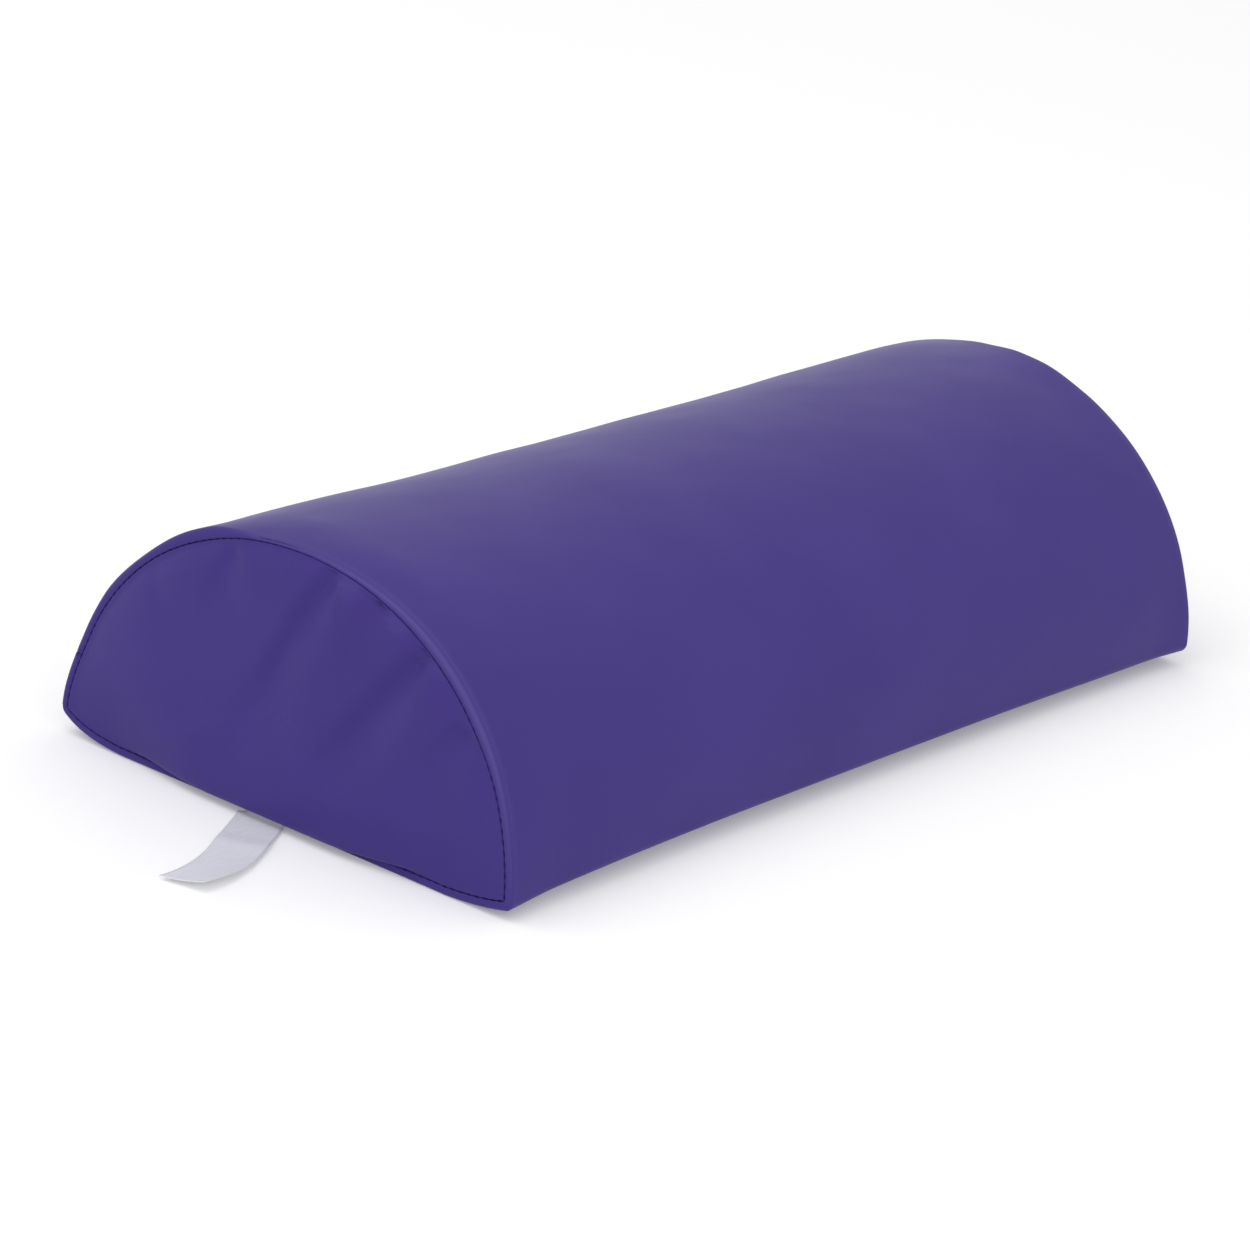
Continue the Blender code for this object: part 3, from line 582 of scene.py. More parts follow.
@dataclass
class CrossSection:
    """Outline across the bolster: an arch over a base that is flat in the middle and lifts at its long edges.

    A place round it is a station: 0 to 1 is the rounding of the front edge from the base up, 1 to 2 the arch from
    front to rear, 2 to 3 the rounding of the rear edge and 3 to 4 the base from rear to front.
    """

    width: float = 0.200
    height: float = 0.100
    edge_level: float = 0.010
    edge_round: float = 0.004
    least_round: float = 0.0005
    edge_turn: float = math.radians(56.0)
    base_power: float = 9.0
    standing_depth: float = 0.0005
    zip_level: float = 0.031
    band: float = 0.030
    band_flat: float = 0.0095
    zip_step: float = 0.004

    @property
    def half_turn(self) -> float:
        """Half of the angle on the arch that the flat band of the zip takes."""
        rise = (self.height - self.edge_level) * math.cos(self.zip_turn)
        return self.band / 2 / math.hypot(self.width / 2 * math.sin(self.zip_turn), rise)

    @property
    def zip_turn(self) -> float:
        """Angle of the zip's line above the rear edge."""
        return math.asin((self.zip_level - self.edge_level) / (self.height - self.edge_level))

    def zip_station(self, offset: Array) -> Array:
        """Station at this distance below the zip's line."""
        return 2.0 + (np.asarray(offset) / (self.band / 2) * self.half_turn - self.zip_turn) / math.pi

    def zip_offset(self, station: Array) -> Array:
        """Distance of a station from the zip's line, the shorter way round."""
        turns = np.abs((station + 2.0 - self.zip_station(0.0)) % 4.0 - 2.0)
        return turns * math.pi / self.half_turn * self.band / 2

    def zip_down(self, draw: float) -> Array:
        """Unit direction down the cover at the zip's line, where it draws in this far."""
        above, below = self.at(self.zip_station(np.array((-self.zip_step, self.zip_step))), 0.0, draw)
        return (below - above) / np.linalg.norm(below - above)

    def arch(self, angle: Array, inset: Array) -> Array:
        """y and z on the ellipse at this angle from its front end, drawn in by the inset.

        Args:
            angle: Angle from the front edge over the top.
            inset: Distance inside the outer face.

        Returns:
            y and z on a new last axis.
        """
        across = (self.width / 2 - inset) * np.cos(angle)
        rise = (self.height - self.edge_level - inset) * np.sin(angle)
        return np.stack(np.broadcast_arrays(-across, self.edge_level + rise), axis=-1)

    def flattened(self, angle: Array, inset: Array, flat: Array) -> Array:
        """The arch with the zip's band drawn flat: eased from its chord at the zip to the ellipse beside it.

        Args:
            angle: Angle from the front edge over the top.
            inset: Distance inside the outer face.
            flat: How flat the band is, from 0 to 1.

        Returns:
            y and z on a new last axis.
        """
        middle = math.pi - self.zip_turn
        ends = (middle - self.half_turn, middle + self.half_turn)
        upper, lower = (self.arch(np.full_like(angle, end), inset) for end in ends)
        share = (angle - middle + self.half_turn) / (2.0 * self.half_turn)
        chord = upper + (lower - upper) * share[..., None]
        away = np.abs(angle - middle) / self.half_turn * self.band / 2
        weight = (1.0 - ease(away, self.band_flat, self.band / 2)) * flat
        whole = self.arch(angle, inset)
        return whole + (chord - whole) * weight[..., None]

    def edge(self, share: Array, inset: Array, draw: Array) -> Array:
        """Point on a long edge's rounding, from its widest line at 0 to the base at 1, on the rear side.

        Args:
            share: Place on the rounding.
            inset: Distance inside the outer face.
            draw: How far the cover draws in.

        Returns:
            y and z on a new last axis.
        """
        past = np.maximum(0.0, inset + self.least_round - self.edge_round)
        radius = np.maximum(self.edge_round - inset, self.least_round)
        turn = self.edge_turn * share
        across = self.width / 2 - self.edge_round - past - draw + radius * np.cos(turn)
        level = self.edge_level + past * math.tan(self.edge_turn / 2) - radius * np.sin(turn)
        return np.stack(np.broadcast_arrays(across, level), axis=-1)

    def base(self, share: Array, inset: Array, draw: Array) -> Array:
        """Point on the base: flat in the middle, and lifted by a high power of its share of the half width.

        Args:
            share: Place across, from -1 at the front to 1 at the rear.
            inset: Distance inside the outer face.
            draw: How far the cover draws in.

        Returns:
            y and z on a new last axis.
        """
        edge = self.edge(np.ones_like(share), inset, draw)
        lift = edge[..., 1] - inset + self.standing_depth
        rise = np.maximum(0.0, lift * np.abs(share) ** self.base_power - self.standing_depth)
        return np.stack(np.broadcast_arrays(share * edge[..., 0], inset + rise), axis=-1)

    def at(self, station: Array, inset: Array = 0.0, draw: Array = 0.0, flat: Array = 1.0) -> Array:
        """Point of the outline at a station, inside the outer face by the inset and drawn in with the cover.

        The arch starts at the angle where it is as high as the edge's rounding, which rises with the inset.

        Args:
            station: Place round the outline.
            inset: Distance inside the outer face.
            draw: How far the cover draws in.
            flat: How flat the zip's band is here, from 0 to 1.

        Returns:
            y and z on a new last axis.
        """
        station, inset, draw, flat = np.broadcast_arrays(np.asarray(station, dtype=float) % 4.0, inset, draw, flat)
        rear = self.edge(station - 2.0, inset, draw)
        front = self.edge(1.0 - station, inset, draw) * np.array((-1.0, 1.0))
        past = np.maximum(0.0, inset + self.least_round - self.edge_round)
        start = np.arcsin(past * math.tan(self.edge_turn / 2) / (self.height - self.edge_level - inset - draw))
        arch = self.flattened(start + (station - 1.0) * (math.pi - 2.0 * start), inset + draw, flat)
        base = self.base(1.0 - 2.0 * (station - 3.0), inset, draw)
        kind = np.floor(station)[..., None]
        return np.select((kind == 0, kind == 1, kind == 2), (front, arch, rear), base)


@dataclass
class Seam:
    """The lockstitched seam between the sleeve and an end panel, with its stitches and the pits between them."""

    section: CrossSection
    level: float = 0.0033
    pitch: float = 0.0033
    opening: float = 0.00026
    opening_power: float = 1.5
    loose: Table = (
        (1.0, 1.0), (1.11, 1.0), (1.18, 0.35), (1.28, 0.05), (1.46, 0.05), (1.57, 0.35), (1.68, 0.7), (1.95, 1.0))
    samples: int = 4001

    def __post_init__(self) -> None:
        """Measures the seam: the running length at closely set stations."""
        self.stations = np.linspace(0.0, 4.0, self.samples)
        points = self.section.at(self.stations, self.level, 0.0, 0.0)
        steps = np.linalg.norm(np.diff(points, axis=0), axis=1)
        self.lengths = np.concatenate(((0.0,), np.cumsum(steps)))
        self.count = round(self.lengths[-1] / self.pitch)

    def phase(self, station: Array) -> Array:
        """Number of stitches from the start of the outline to a station."""
        run = np.interp(np.asarray(station) % 4.0, self.stations, self.lengths)
        return run / self.lengths[-1] * self.count

    def looseness(self, station: Array) -> Array:
        """How loose the seam is: whole at the base and the corners, and pulled nearly shut over the arch."""
        return eased_table(np.asarray(station) % 4.0, self.loose)

    def open(self, station: Array) -> Array:
        """How far each sheet stands back from the seam: none at a stitch, most half way to the next."""
        most = self.opening * self.looseness(station)
        return most * (0.5 - 0.5 * np.cos(2.0 * math.pi * self.phase(station))) ** self.opening_power

    def stitch_stations(self) -> Array:
        """Stations of the stitches."""
        runs = np.arange(self.count) * self.lengths[-1] / self.count
        return np.interp(runs, self.lengths, self.stations)


@dataclass
class Cover:
    """Sizes that the pieces of the cover share, and the way that the soft cover settles."""

    section: CrossSection = field(default_factory=CrossSection)
    length: float = 0.400
    sheet: float = 0.0011
    gap: float = 0.0003
    seam_gap: float = 0.00005
    roll: float = 0.0016
    allowance: float = 0.008
    panel_round: float = 0.0020
    crown: float = 0.0045
    waist: float = 0.001
    waist_start: float = 0.030
    middle_level: float = 0.030
    label_rim: Table = (
        (1.27, 0.0004), (1.46, 0.0030), (1.52, 0.0034), (1.55, 0.0033), (1.64, -0.0005), (1.67, -0.0005),
        (1.75, 0.0003), (1.83, -0.0003), (1.90, 0.0), (1.96, 0.0004))
    plain_rim: Table = (
        (1.03, -0.0008), (1.10, -0.0001), (1.22, 0.0002), (1.30, 0.0), (1.37, -0.0004), (1.43, -0.0012),
        (1.47, -0.0009), (1.52, 0.0002), (1.58, 0.0008), (1.67, 0.0005), (1.90, 0.0))
    rim_reach: float = 0.0225
    seam_swell: Table = (
        (1.09, 1.0), (1.21, 1.24), (1.36, 1.26), (1.50, 1.38), (1.62, 1.24), (1.75, 1.04), (1.86, 1.0))
    flat_span: Pair = (0.004, 0.0165)
    sag: float = 0.0012
    sag_span: Pair = (0.015, 0.130)
    front_drop: Triple = (0.0008, 0.0027, 0.0005)
    drop_fade: float = 0.030
    drop_rise: Pair = (0.20, 0.40)
    drop_margin: float = 0.002
    drop_power: int = 12
    drop_levels: Pair = (0.006, 0.050)
    flares: tuple[float, float, float, float] = (0.0013, 0.0032, 0.0012, 0.0012)
    flare_reach: Pair = (-0.002, 0.026)
    flare_span: Pair = (0.060, 0.097)
    flare_levels: Pair = (0.006, 0.040)
    parts: int = 4
    arch_columns: int = 116
    edge_columns: int = 7
    base_columns: int = 56

    def __post_init__(self) -> None:
        """Measures the seam that joins the pieces."""
        self.seam = Seam(self.section)

    @property
    def half(self) -> float:
        """Half of the length."""
        return self.length / 2

    @property
    def panel_inset(self) -> float:
        """Inset of an end panel's turned-in edge at the base and the corners."""
        return 2.0 * self.roll + self.seam_gap

    def seam_inset(self, station: Array) -> Array:
        """Inset of the seam's line, which lies deeper over the arch where the roll is fuller."""
        return self.panel_inset * self.swell(station)

    def swell(self, station: Array) -> Array:
        """How much deeper than at the corners the seam lies, as a share: the roll is fuller over the arch."""
        return eased_table(np.asarray(station) % 4.0, self.seam_swell)

    def zip_draw(self, away: Array) -> Array:
        """Draw beside the zip at this distance from the end: straight up to the waist where the window starts."""
        return self.waist * np.clip((away - self.roll) / (self.waist_start - self.roll), 0.0, 1.0)

    def free_draw(self, away: Array, station: Array, end: int) -> Array:
        """Draw of the free sleeve: that of the rim, which fades with the square behind it, and a long sag.

        Args:
            away: Distance from the end.
            station: Place round the outline, which the draw at the end follows.
            end: Sign of the end along X.

        Returns:
            How far the sleeve draws in.
        """
        rim_draw = eased_table(station % 4.0, self.label_rim if end < 0 else self.plain_rim)
        fade = np.clip(1.0 - away / self.rim_reach, 0.0, 1.0) ** 2
        return rim_draw * fade + self.sag * ease(away, *self.sag_span)

    def flatness(self, away: Array) -> Array:
        """How flat the zip's band is at a distance from the end: round at the seam and flat where the zip is."""
        return ease(away, *self.flat_span)

    def settle(self, points: Array) -> Array:
        """Lets the lifted front edge settle lower and the bottom corners flare outwards.

        The drop falls off along X from the label's end by a power of e and grows again towards the plain end. It
        follows the lift of the edge across the base and fades upwards. Each flare fades along X and upwards.

        Args:
            points: Places of a piece of the cover.

        Returns:
            The settled places.
        """
        x, y, z = points[..., 0], points[..., 1], points[..., 2]
        away = np.maximum(x + self.half, 0.0)
        steady, near, far = self.front_drop
        along = steady + near * np.exp(-away / self.drop_fade) + far * ease(away, *self.drop_rise)
        across = np.clip(-y / (self.section.width / 2 - self.drop_margin), 0.0, 1.0) ** self.drop_power
        settled = points.copy()
        settled[..., 2] -= along * across * (1.0 - ease(z, *self.drop_levels))
        low = 1.0 - ease(z, *self.flare_levels)
        for flare, end, side in zip(self.flares, (-1.0, -1.0, 1.0, 1.0), (-1.0, 1.0, -1.0, 1.0)):
            reach = 1.0 - ease(self.half - end * x, *self.flare_reach)
            settled[..., 1] += side * flare * reach * ease(side * y, *self.flare_span) * low
        return settled

    def ring(self) -> Array:
        """Stations of the columns round an end panel or the foam."""
        counts = (self.edge_columns, self.arch_columns, self.edge_columns, self.base_columns)
        return np.concatenate([np.linspace(at, at + 1.0, count, endpoint=False) for at, count in enumerate(counts)])

    def fine(self, stations: Array) -> Array:
        """Stations with each step cut into equal parts.

        Args:
            stations: Coarse stations on the last axis.

        Returns:
            The fine stations.
        """
        shares = np.arange(self.parts) / self.parts
        steps = stations[..., :-1, None] + np.diff(stations, axis=-1)[..., None] * shares
        return np.concatenate((steps.reshape(*stations.shape[:-1], -1), stations[..., -1:]), axis=-1)


@dataclass
class Sleeve:
    """The sheet that wraps the foam lengthwise, with rolled ends and its two long edges hemmed at the zip."""

    cover: Cover
    finish: Material
    window: float = 0.009
    window_fade: float = 0.008
    hem_round: float = 0.00125
    seam_round: float = 0.00062
    hem_span: Pair = (0.010, 0.024)
    hem_depth: float = 0.008
    tail: float = 0.0012
    hem_steps: int = 7
    band_columns: int = 9
    roll_rows: int = 15
    roll_power: float = 0.22
    free_span: Pair = (0.012, 0.034)
    open_span: Pair = (0.0018, 0.0030)
    pucker: float = 0.12
    pucker_place: Pair = (0.0036, 0.0022)
    pucker_start: Pair = (0.0012, 0.003)
    behind_crest: tuple[float, ...] = (0.0009, 0.0020, 0.0034)
    near_rows: tuple[float, ...] = (0.0070, 0.0088, 0.0106, 0.0126, 0.0148, 0.0172, 0.0196)
    zip_end_rows: Triple = (0.0212, 0.0310, 0.0011)
    middle_start: float = 0.0332
    middle_rows: int = 26
    # Weights of the painted highlight and extra gloss on the rolled ends: a bell over the roll's turns, values for the
    # rows behind the crest, and a floor and a bell round the outline.
    highlight_and_polish_turn: Pair = (0.95, 0.75)
    crest_highlight_and_polish: tuple[float, ...] = (0.45, 0.12, 0.0)
    highlight_and_polish_least: float = 0.10
    highlight_and_polish_most: Pair = (5.27, 0.21)
    bumps: Table = ((0.060, 0.00022), (0.024, 0.00008))
    calm_ends: Pair = (0.004, 0.020)
    calm_zip: Pair = (0.020, 0.045)
    calm_floor: Pair = (0.006, 0.022)

    def hem_radius(self, away: Array) -> Array:
        """Radius of the hem's fold, which is whole at the zip and pressed flat at the ends."""
        return self.seam_round + (self.hem_round - self.seam_round) * ease(away, *self.hem_span)

    def hem_edge(self, away: Array) -> Array:
        """Distance from the zip's line to the hem: half the window, closing to none past its ends."""
        start = self.cover.waist_start
        return self.window / 2 * ease(away, start - self.window_fade, start) + self.hem_radius(away)

    def stations(self, away: Array) -> Array:
        """Stations of one row's columns: down from the zip, round the rear edge, the base and the arch to the zip.

        Args:
            away: Distance of each row from the end, as a column.

        Returns:
            Coarse stations, one row for each distance.
        """
        cover, section = self.cover, self.cover.section
        half, edge = section.band / 2, self.hem_edge(away)
        shares = np.linspace(0.0, 1.0, self.band_columns)
        lower = section.zip_station(edge + (half - edge) * shares)
        upper = section.zip_station(-(edge + (half - edge) * shares[::-1])) + 4.0
        stops = (section.zip_station(half), 2.0, 3.0, 4.0, 5.0, section.zip_station(-half) + 4.0)
        counts = (4, cover.edge_columns + 1, cover.base_columns + 1, cover.edge_columns + 1, cover.arch_columns)
        fixed = np.concatenate([np.linspace(*span)[1:] for span in zip(stops, stops[1:], counts)])[:-1]
        return np.concatenate((lower, np.broadcast_to(fixed, (len(away), len(fixed))), upper), axis=1)

    def hem(self, root: Array, away: Array, roll: Array, side: int) -> Array:
        """Points of a hem: a half turn under the edge and a flat tail back beneath the sleeve.

        Args:
            root: Points of the edge, one a row.
            away: Distance of each row from the end, as a column.
            roll: How far each row has turned round the end, as a column: none on the sleeve, half a turn inside.
            side: -1 above the zip and 1 below it.

        Returns:
            The points from the edge inwards, with rows first.
        """
        down = self.cover.section.zip_down(self.cover.waist)
        outward = np.array((-down[1], down[0]))
        turns = np.linspace(0.0, math.pi, self.hem_steps)[1:]
        radius = self.hem_radius(away)
        tail = self.hem_depth * (radius - self.seam_round) / (self.hem_round - self.seam_round) + self.tail
        back = np.concatenate((-radius * np.sin(turns), tail * 0.4, tail), axis=1) * side
        depth = np.concatenate((radius * (1.0 - np.cos(turns)), 2.0 * radius, 2.0 * radius), axis=1)
        moves = back[..., None] * down - (depth * np.cos(roll))[..., None] * outward
        points = np.repeat(root[:, None, :], moves.shape[1], axis=1)
        points[..., 1:] += moves
        points[..., 0] -= np.sign(root[:, :1]) * depth * np.sin(roll)
        return points

    def rows(self, place: Array, inset: Array, roll: Array, end: int, fine: bool) -> Array:
        """Points of rows at given places, for one end of the sleeve.

        Args:
            place: Places along X, counted from the middle towards the end.
            inset: Inset of each row.
            roll: How far each row has turned round the end.
            end: Sign of the end along X.
            fine: Whether the rows have the fine columns.

        Returns:
            The points, rows by columns.
        """
        cover = self.cover
        place, inset, roll = place[:, None], inset[:, None], roll[:, None]
        away = cover.half - place
        stations = self.stations(away)
        stations = cover.fine(stations) if fine else stations
        free = ease(cover.section.zip_offset(stations), *self.free_span)
        draw = cover.zip_draw(away) * (1.0 - free) + cover.free_draw(away, stations, end) * free
        draw = draw * (1.0 - inset / (2.0 * cover.roll))
        opened = cover.seam.open(stations)
        pucker = opened * self.pucker * bell(away, *self.pucker_place) * ease(away, *self.pucker_start)
        deep = inset * cover.swell(stations) - opened * ease(inset, *self.open_span)
        flat = cover.section.at(stations, deep, draw + pucker, cover.flatness(away))
        across = np.broadcast_to(end * place, flat.shape[:-1])
        points = np.concatenate((across[..., None], flat), axis=-1)
        lower = self.hem(points[:, 0], away, roll, 1)[:, ::-1]
        upper = self.hem(points[:, -1], away, roll, -1)
        return np.concatenate((lower, points, upper), axis=1)

    def end_rows(self, end: int) -> tuple[Array, Array]:
        """Fine rows of one rolled end, from the tucked-in edge outwards and back to the crest, and the weights of
        their painted highlight and gloss.

        Args:
            end: Sign of the end along X.

        Returns:
            The points and the weight of the painted highlight and gloss at each row.
        """
        cover = self.cover
        start = cover.half - cover.roll
        turns = np.linspace(math.pi, 0.0, self.roll_rows)
        bulge = np.where(turns > math.pi / 2, np.abs(np.sin(turns)) ** self.roll_power, np.sin(turns))
        behind = np.array(self.behind_crest)
        none = np.zeros(len(behind))
        tucked = start - cover.allowance * np.array((1.0, 0.5))
        place = np.concatenate((tucked, start + cover.roll * bulge, start - behind))
        inset = np.concatenate((np.full(2, 2.0 * cover.roll), cover.roll * (1.0 - np.cos(turns)), none))
        roll = np.concatenate((np.full(2, math.pi), turns, none))
        # Painted highlight and gloss on the roll's outer shoulder, fading over the rows behind its crest.
        highlight_and_polish_weight = np.concatenate((np.zeros(2), bell(turns, *self.highlight_and_polish_turn), self.crest_highlight_and_polish))
        return self.rows(place, inset, roll, end, True), highlight_and_polish_weight

    def body_rows(self) -> Array:
        """Coarse rows between the two rolled ends, closer together towards the ends.

        Returns:
            The points from the plain end to the label's end.
        """
        half = self.cover.half
        away = np.concatenate((self.near_rows, np.arange(*self.zip_end_rows),
                               np.linspace(self.middle_start, half, self.middle_rows)))
        place, none = half - away, np.zeros(len(away))
        plain = self.rows(place, none, none, 1, False)
        label = self.rows(place[:-1], none[:-1], none[:-1], -1, False)
        return np.concatenate((plain, label[::-1]))

    def uneven(self, points: Array) -> Array:
        """Raises gentle bumps on the free sleeve, none at the seams, the zip and the floor.

        Args:
            points: Points of the sleeve.

        Returns:
            The points, moved outwards by the bumps.
        """
        cover = self.cover
        (long, tall), (short, low) = self.bumps
        bumps = waves(points, long, 5) * tall + waves(points, short, 6) * low
        outward = points * np.array((0.0, 1.0, 1.0)) - np.array((0.0, 0.0, cover.middle_level))
        outward /= np.linalg.norm(outward, axis=1, keepdims=True) + 1e-9
        line = cover.section.at(cover.section.zip_station(0.0), 0.0, cover.waist)
        near_zip = np.linalg.norm(points[:, 1:] - line, axis=1)
        calm = ease(cover.half - np.abs(points[:, 0]), *self.calm_ends) * ease(near_zip, *self.calm_zip)
        calm = calm * ease(points[:, 2], *self.calm_floor)
        return points + outward * (bumps * calm)[:, None]

    def build(self) -> Piece:
        """Joins the rows from the plain end to the label's end, settles them and gives the sheet its thickness.

        Returns:
            The sleeve.
        """
        first, highlight_and_polish_weight = self.end_rows(1)
        last, _ = self.end_rows(-1)
        body = self.body_rows()
        fine, coarse, hems = first.shape[1], body.shape[1], self.hem_steps + 1
        blocks = (first, body, last[::-1])
        starts = np.cumsum([0] + [block.shape[0] * block.shape[1] for block in blocks])
        faces = []
        for block, start in zip(blocks, starts):
            faces += grid_faces(*block.shape[:2], first=start)
        faces += self.joint(starts[1], starts[1] - fine, coarse, fine, False)
        faces += self.joint(starts[2] - coarse, starts[2], coarse, fine, True)
        points = self.uneven(np.concatenate([block.reshape(-1, 3) for block in blocks]))
        piece = make_piece("sleeve_cover", self.cover.settle(points), faces, self.finish)
        # Painted highlight and gloss on both rolled ends, strongest round the front of the arch; none on the body or
        # the hems.
        highlight_and_polish_share = np.zeros(fine)
        highlight_and_polish_share[hems:-hems] = self.highlight_and_polish_least + (1.0 - self.highlight_and_polish_least) * bell(
            self.cover.fine(self.stations(np.zeros((1, 1))))[0], *self.highlight_and_polish_most)
        ends = [np.outer(rows, highlight_and_polish_share).reshape(-1) for rows in (highlight_and_polish_weight, highlight_and_polish_weight[::-1])]
        highlight_and_polish(piece, np.concatenate((ends[0], np.zeros(body.shape[0] * coarse), ends[1])))
        thicken(piece, self.cover.sheet)
        seat(piece, "bolster", Slot.LEATHERETTE, "cover_sleeve")
        return piece

    def joint(self, coarse_row: int, fine_row: int, coarse: int, fine: int, coarse_first: bool) -> Faces:
        """Faces between a coarse row and a fine one, whose hems have the same columns.

        Args:
            coarse_row: First point of the coarse row.
            fine_row: First point of the fine row.
            coarse: Points in the coarse row.
            fine: Points in the fine row.
            coarse_first: Whether the coarse row comes first.

        Returns:
            The faces.
        """
        hems = self.hem_steps + 1
        faces = stitched_faces(coarse_row + hems, fine_row + hems, coarse - 2 * hems, self.cover.parts, coarse_first,
                               closed_rows=False)
        for shift_coarse, shift_fine in ((0, 0), (coarse - hems - 1, fine - hems - 1)):
            step = np.arange(hems)[:, None]
            low, high = coarse_row + shift_coarse + step, fine_row + shift_fine + step
            quads = (low, low + 1, high + 1, high) if coarse_first else (high, high + 1, low + 1, low)
            faces += np.concatenate(quads, axis=1).tolist()
        return faces


@dataclass(frozen=True)
class Fold:
    """A soft fold of an end panel, from its start at the seam to where it fades out."""

    start: Pair
    stop: Pair
    depth: float
    steep: float = 0.0036
    gentle: float = 0.0050
    spread: float = 0.0100


@dataclass
class EndPanel:
    """A half-round panel sewn into an end of the sleeve: a crowned sheet with folds that run in from the seam."""

    cover: Cover
    finish: Material
    end: End
    edge_round: float = 0.0008
    arch_round: float = 0.00010
    crest: Pair = (0.0, 0.042)
    rim_rows: int = 7
    rings: int = 44
    ring_power: float = 1.35
    ring_shares: Pair = (0.006, 0.988)
    bulge: float = 0.0048
    bulge_drop: float = 0.0042
    bulge_reach: float = 0.020
    drop_reach: float = 0.0060
    bulge_middle: float = 0.002
    bulge_span: Pair = (0.026, 0.080)
    seam_hold: float = 0.0011
    bulge_rim: Pair = (-0.0010, 0.0008)
    fold_rim: Pair = (-0.0012, 0.0016)
    bumps: Table = ((0.050, 0.00025), (0.020, 0.00006))
    bumps_rim: Pair = (0.0, 0.012)
    opening_turn: Pair = (0.3, 1.2)
    skirt: Pair = (0.3, 1.0)
    folds: tuple[Fold, ...] = (
        Fold((0.0288, 0.0895), (0.0324, 0.0660), 0.0020),
        Fold((-0.0150, 0.0945), (0.0169, 0.0275), 0.0034),
        Fold((-0.0345, 0.0900), (-0.0288, 0.0680), 0.0018),
        Fold((-0.0558, 0.0788), (-0.0196, 0.0250), 0.0042),
        Fold((-0.0755, 0.0592), (-0.0575, 0.0290), 0.0026, 0.0042),
        Fold((0.0640, 0.0720), (0.0520, 0.0520), 0.0004),
        Fold((-0.0880, 0.0330), (-0.0640, 0.0210), 0.0005),
    )
    puffs: Table = ((-0.0206, 0.0912), (-0.0421, 0.0855), (-0.0580, 0.0740))
    puff_height: float = 0.0009
    puff_spread: float = 0.0040
    # Rise of a puff that would give the full weight of its painted highlight and gloss, and the most weight it gets.
    puff_highlight_and_polish: Pair = (0.0008, 0.25)

    def fold_depth(self, flat: Array) -> Array:
        """Depth of all the folds: a bell across each line, steep on its upper side and gentle on the other.

        Args:
            flat: y and z of the panel's points.

        Returns:
            How far each point sinks; negative where a puff rises.
        """
        total = np.zeros(flat.shape[:-1])
        for fold in self.folds:
            start, stop = np.array(fold.start), np.array(fold.stop)
            length = np.linalg.norm(stop - start)
            way = (stop - start) / length
            along = (flat - start) @ way / length
            across = (flat - start) @ np.array((-way[1], way[0]))
            spread = np.clip(along, 0.0, 1.2)
            width = np.where(across > 0.0, fold.steep * (0.7 + 0.8 * spread), fold.gentle + fold.spread * spread)
            reach = ease(along, -0.05, 0.09) * (1.0 - 0.30 * ease(along, 0.05, 0.5)) * (1.0 - ease(along, 0.50, 1.25))
            total += fold.depth * reach * np.exp(-((across / width) ** 2))
        for puff in self.puffs:
            total -= self.puff_height * bell(np.linalg.norm(flat - np.array(puff), axis=-1), 0.0, self.puff_spread)
        return total

    def height(self, flat: Array) -> Array:
        """Share of the crown: 1 less the cube of what the product of the distances to base and arch lacks of its most.

        Args:
            flat: y and z of the panel's points.

        Returns:
            0 on the line where the crown starts and 1 on the crest, with no ridge towards the corners.
        """
        section = self.cover.section
        inset = self.cover.panel_inset * max(share for _, share in self.cover.seam_swell) + self.edge_round
        wide = section.width / 2 - inset
        tall = section.height - section.edge_level - inset
        base = section.base(np.clip(flat[..., 0] / wide, -1.0, 1.0), inset, 0.0)[..., 1]
        from_arch = 1.0 - (flat[..., 0] / wide) ** 2 - (np.maximum(flat[..., 1] - section.edge_level, 0.0) / tall) ** 2
        from_base = (flat[..., 1] - base) / tall
        product = np.clip(from_arch, 0.0, 1.0) * np.clip(from_base, 0.0, 1.0) * 3.0 * math.sqrt(3.0) / 2.0
        return 1.0 - (1.0 - np.clip(product, 0.0, 1.0)) ** 3

    def raised(self, flat: Array, outward: Array, rim: Array) -> Array:
        """Points of the panel before it is turned to its end, counted outwards from the bolster.

        Args:
            flat: y and z of the points.
            outward: How far each stands out from the end's plane.
            rim: Distance of each from the rim's crest, towards the middle.

        Returns:
            The points, with X along the outward direction.
        """
        above = flat[..., 1] - self.cover.panel_inset - self.edge_round
        low = 1.0 - ease(np.abs(flat[..., 0] - self.bulge_middle), *self.bulge_span)
        rise = (1.0 - np.exp(-np.maximum(above, 0.0) / self.seam_hold)) * ease(rim, *self.bulge_rim)
        out = rise * np.exp(-((above / self.bulge_reach) ** 2)) * low
        down = rise * np.exp(-((above / self.drop_reach) ** 2)) * low
        sunk = self.fold_depth(flat) * ease(rim, *self.fold_rim)
        place = np.concatenate((rim[..., None], flat), axis=-1)
        (long, tall), (short, slight) = self.bumps
        soft = waves(place, long, 11 + self.end.value) * tall + waves(place, short, 13 + self.end.value) * slight
        outward = outward + self.bulge * out - sunk + soft * ease(rim, *self.bumps_rim)
        moved = flat.copy()
        moved[..., 1] -= self.bulge_drop * down
        return np.concatenate(((self.cover.half + outward)[..., None], moved), axis=-1)

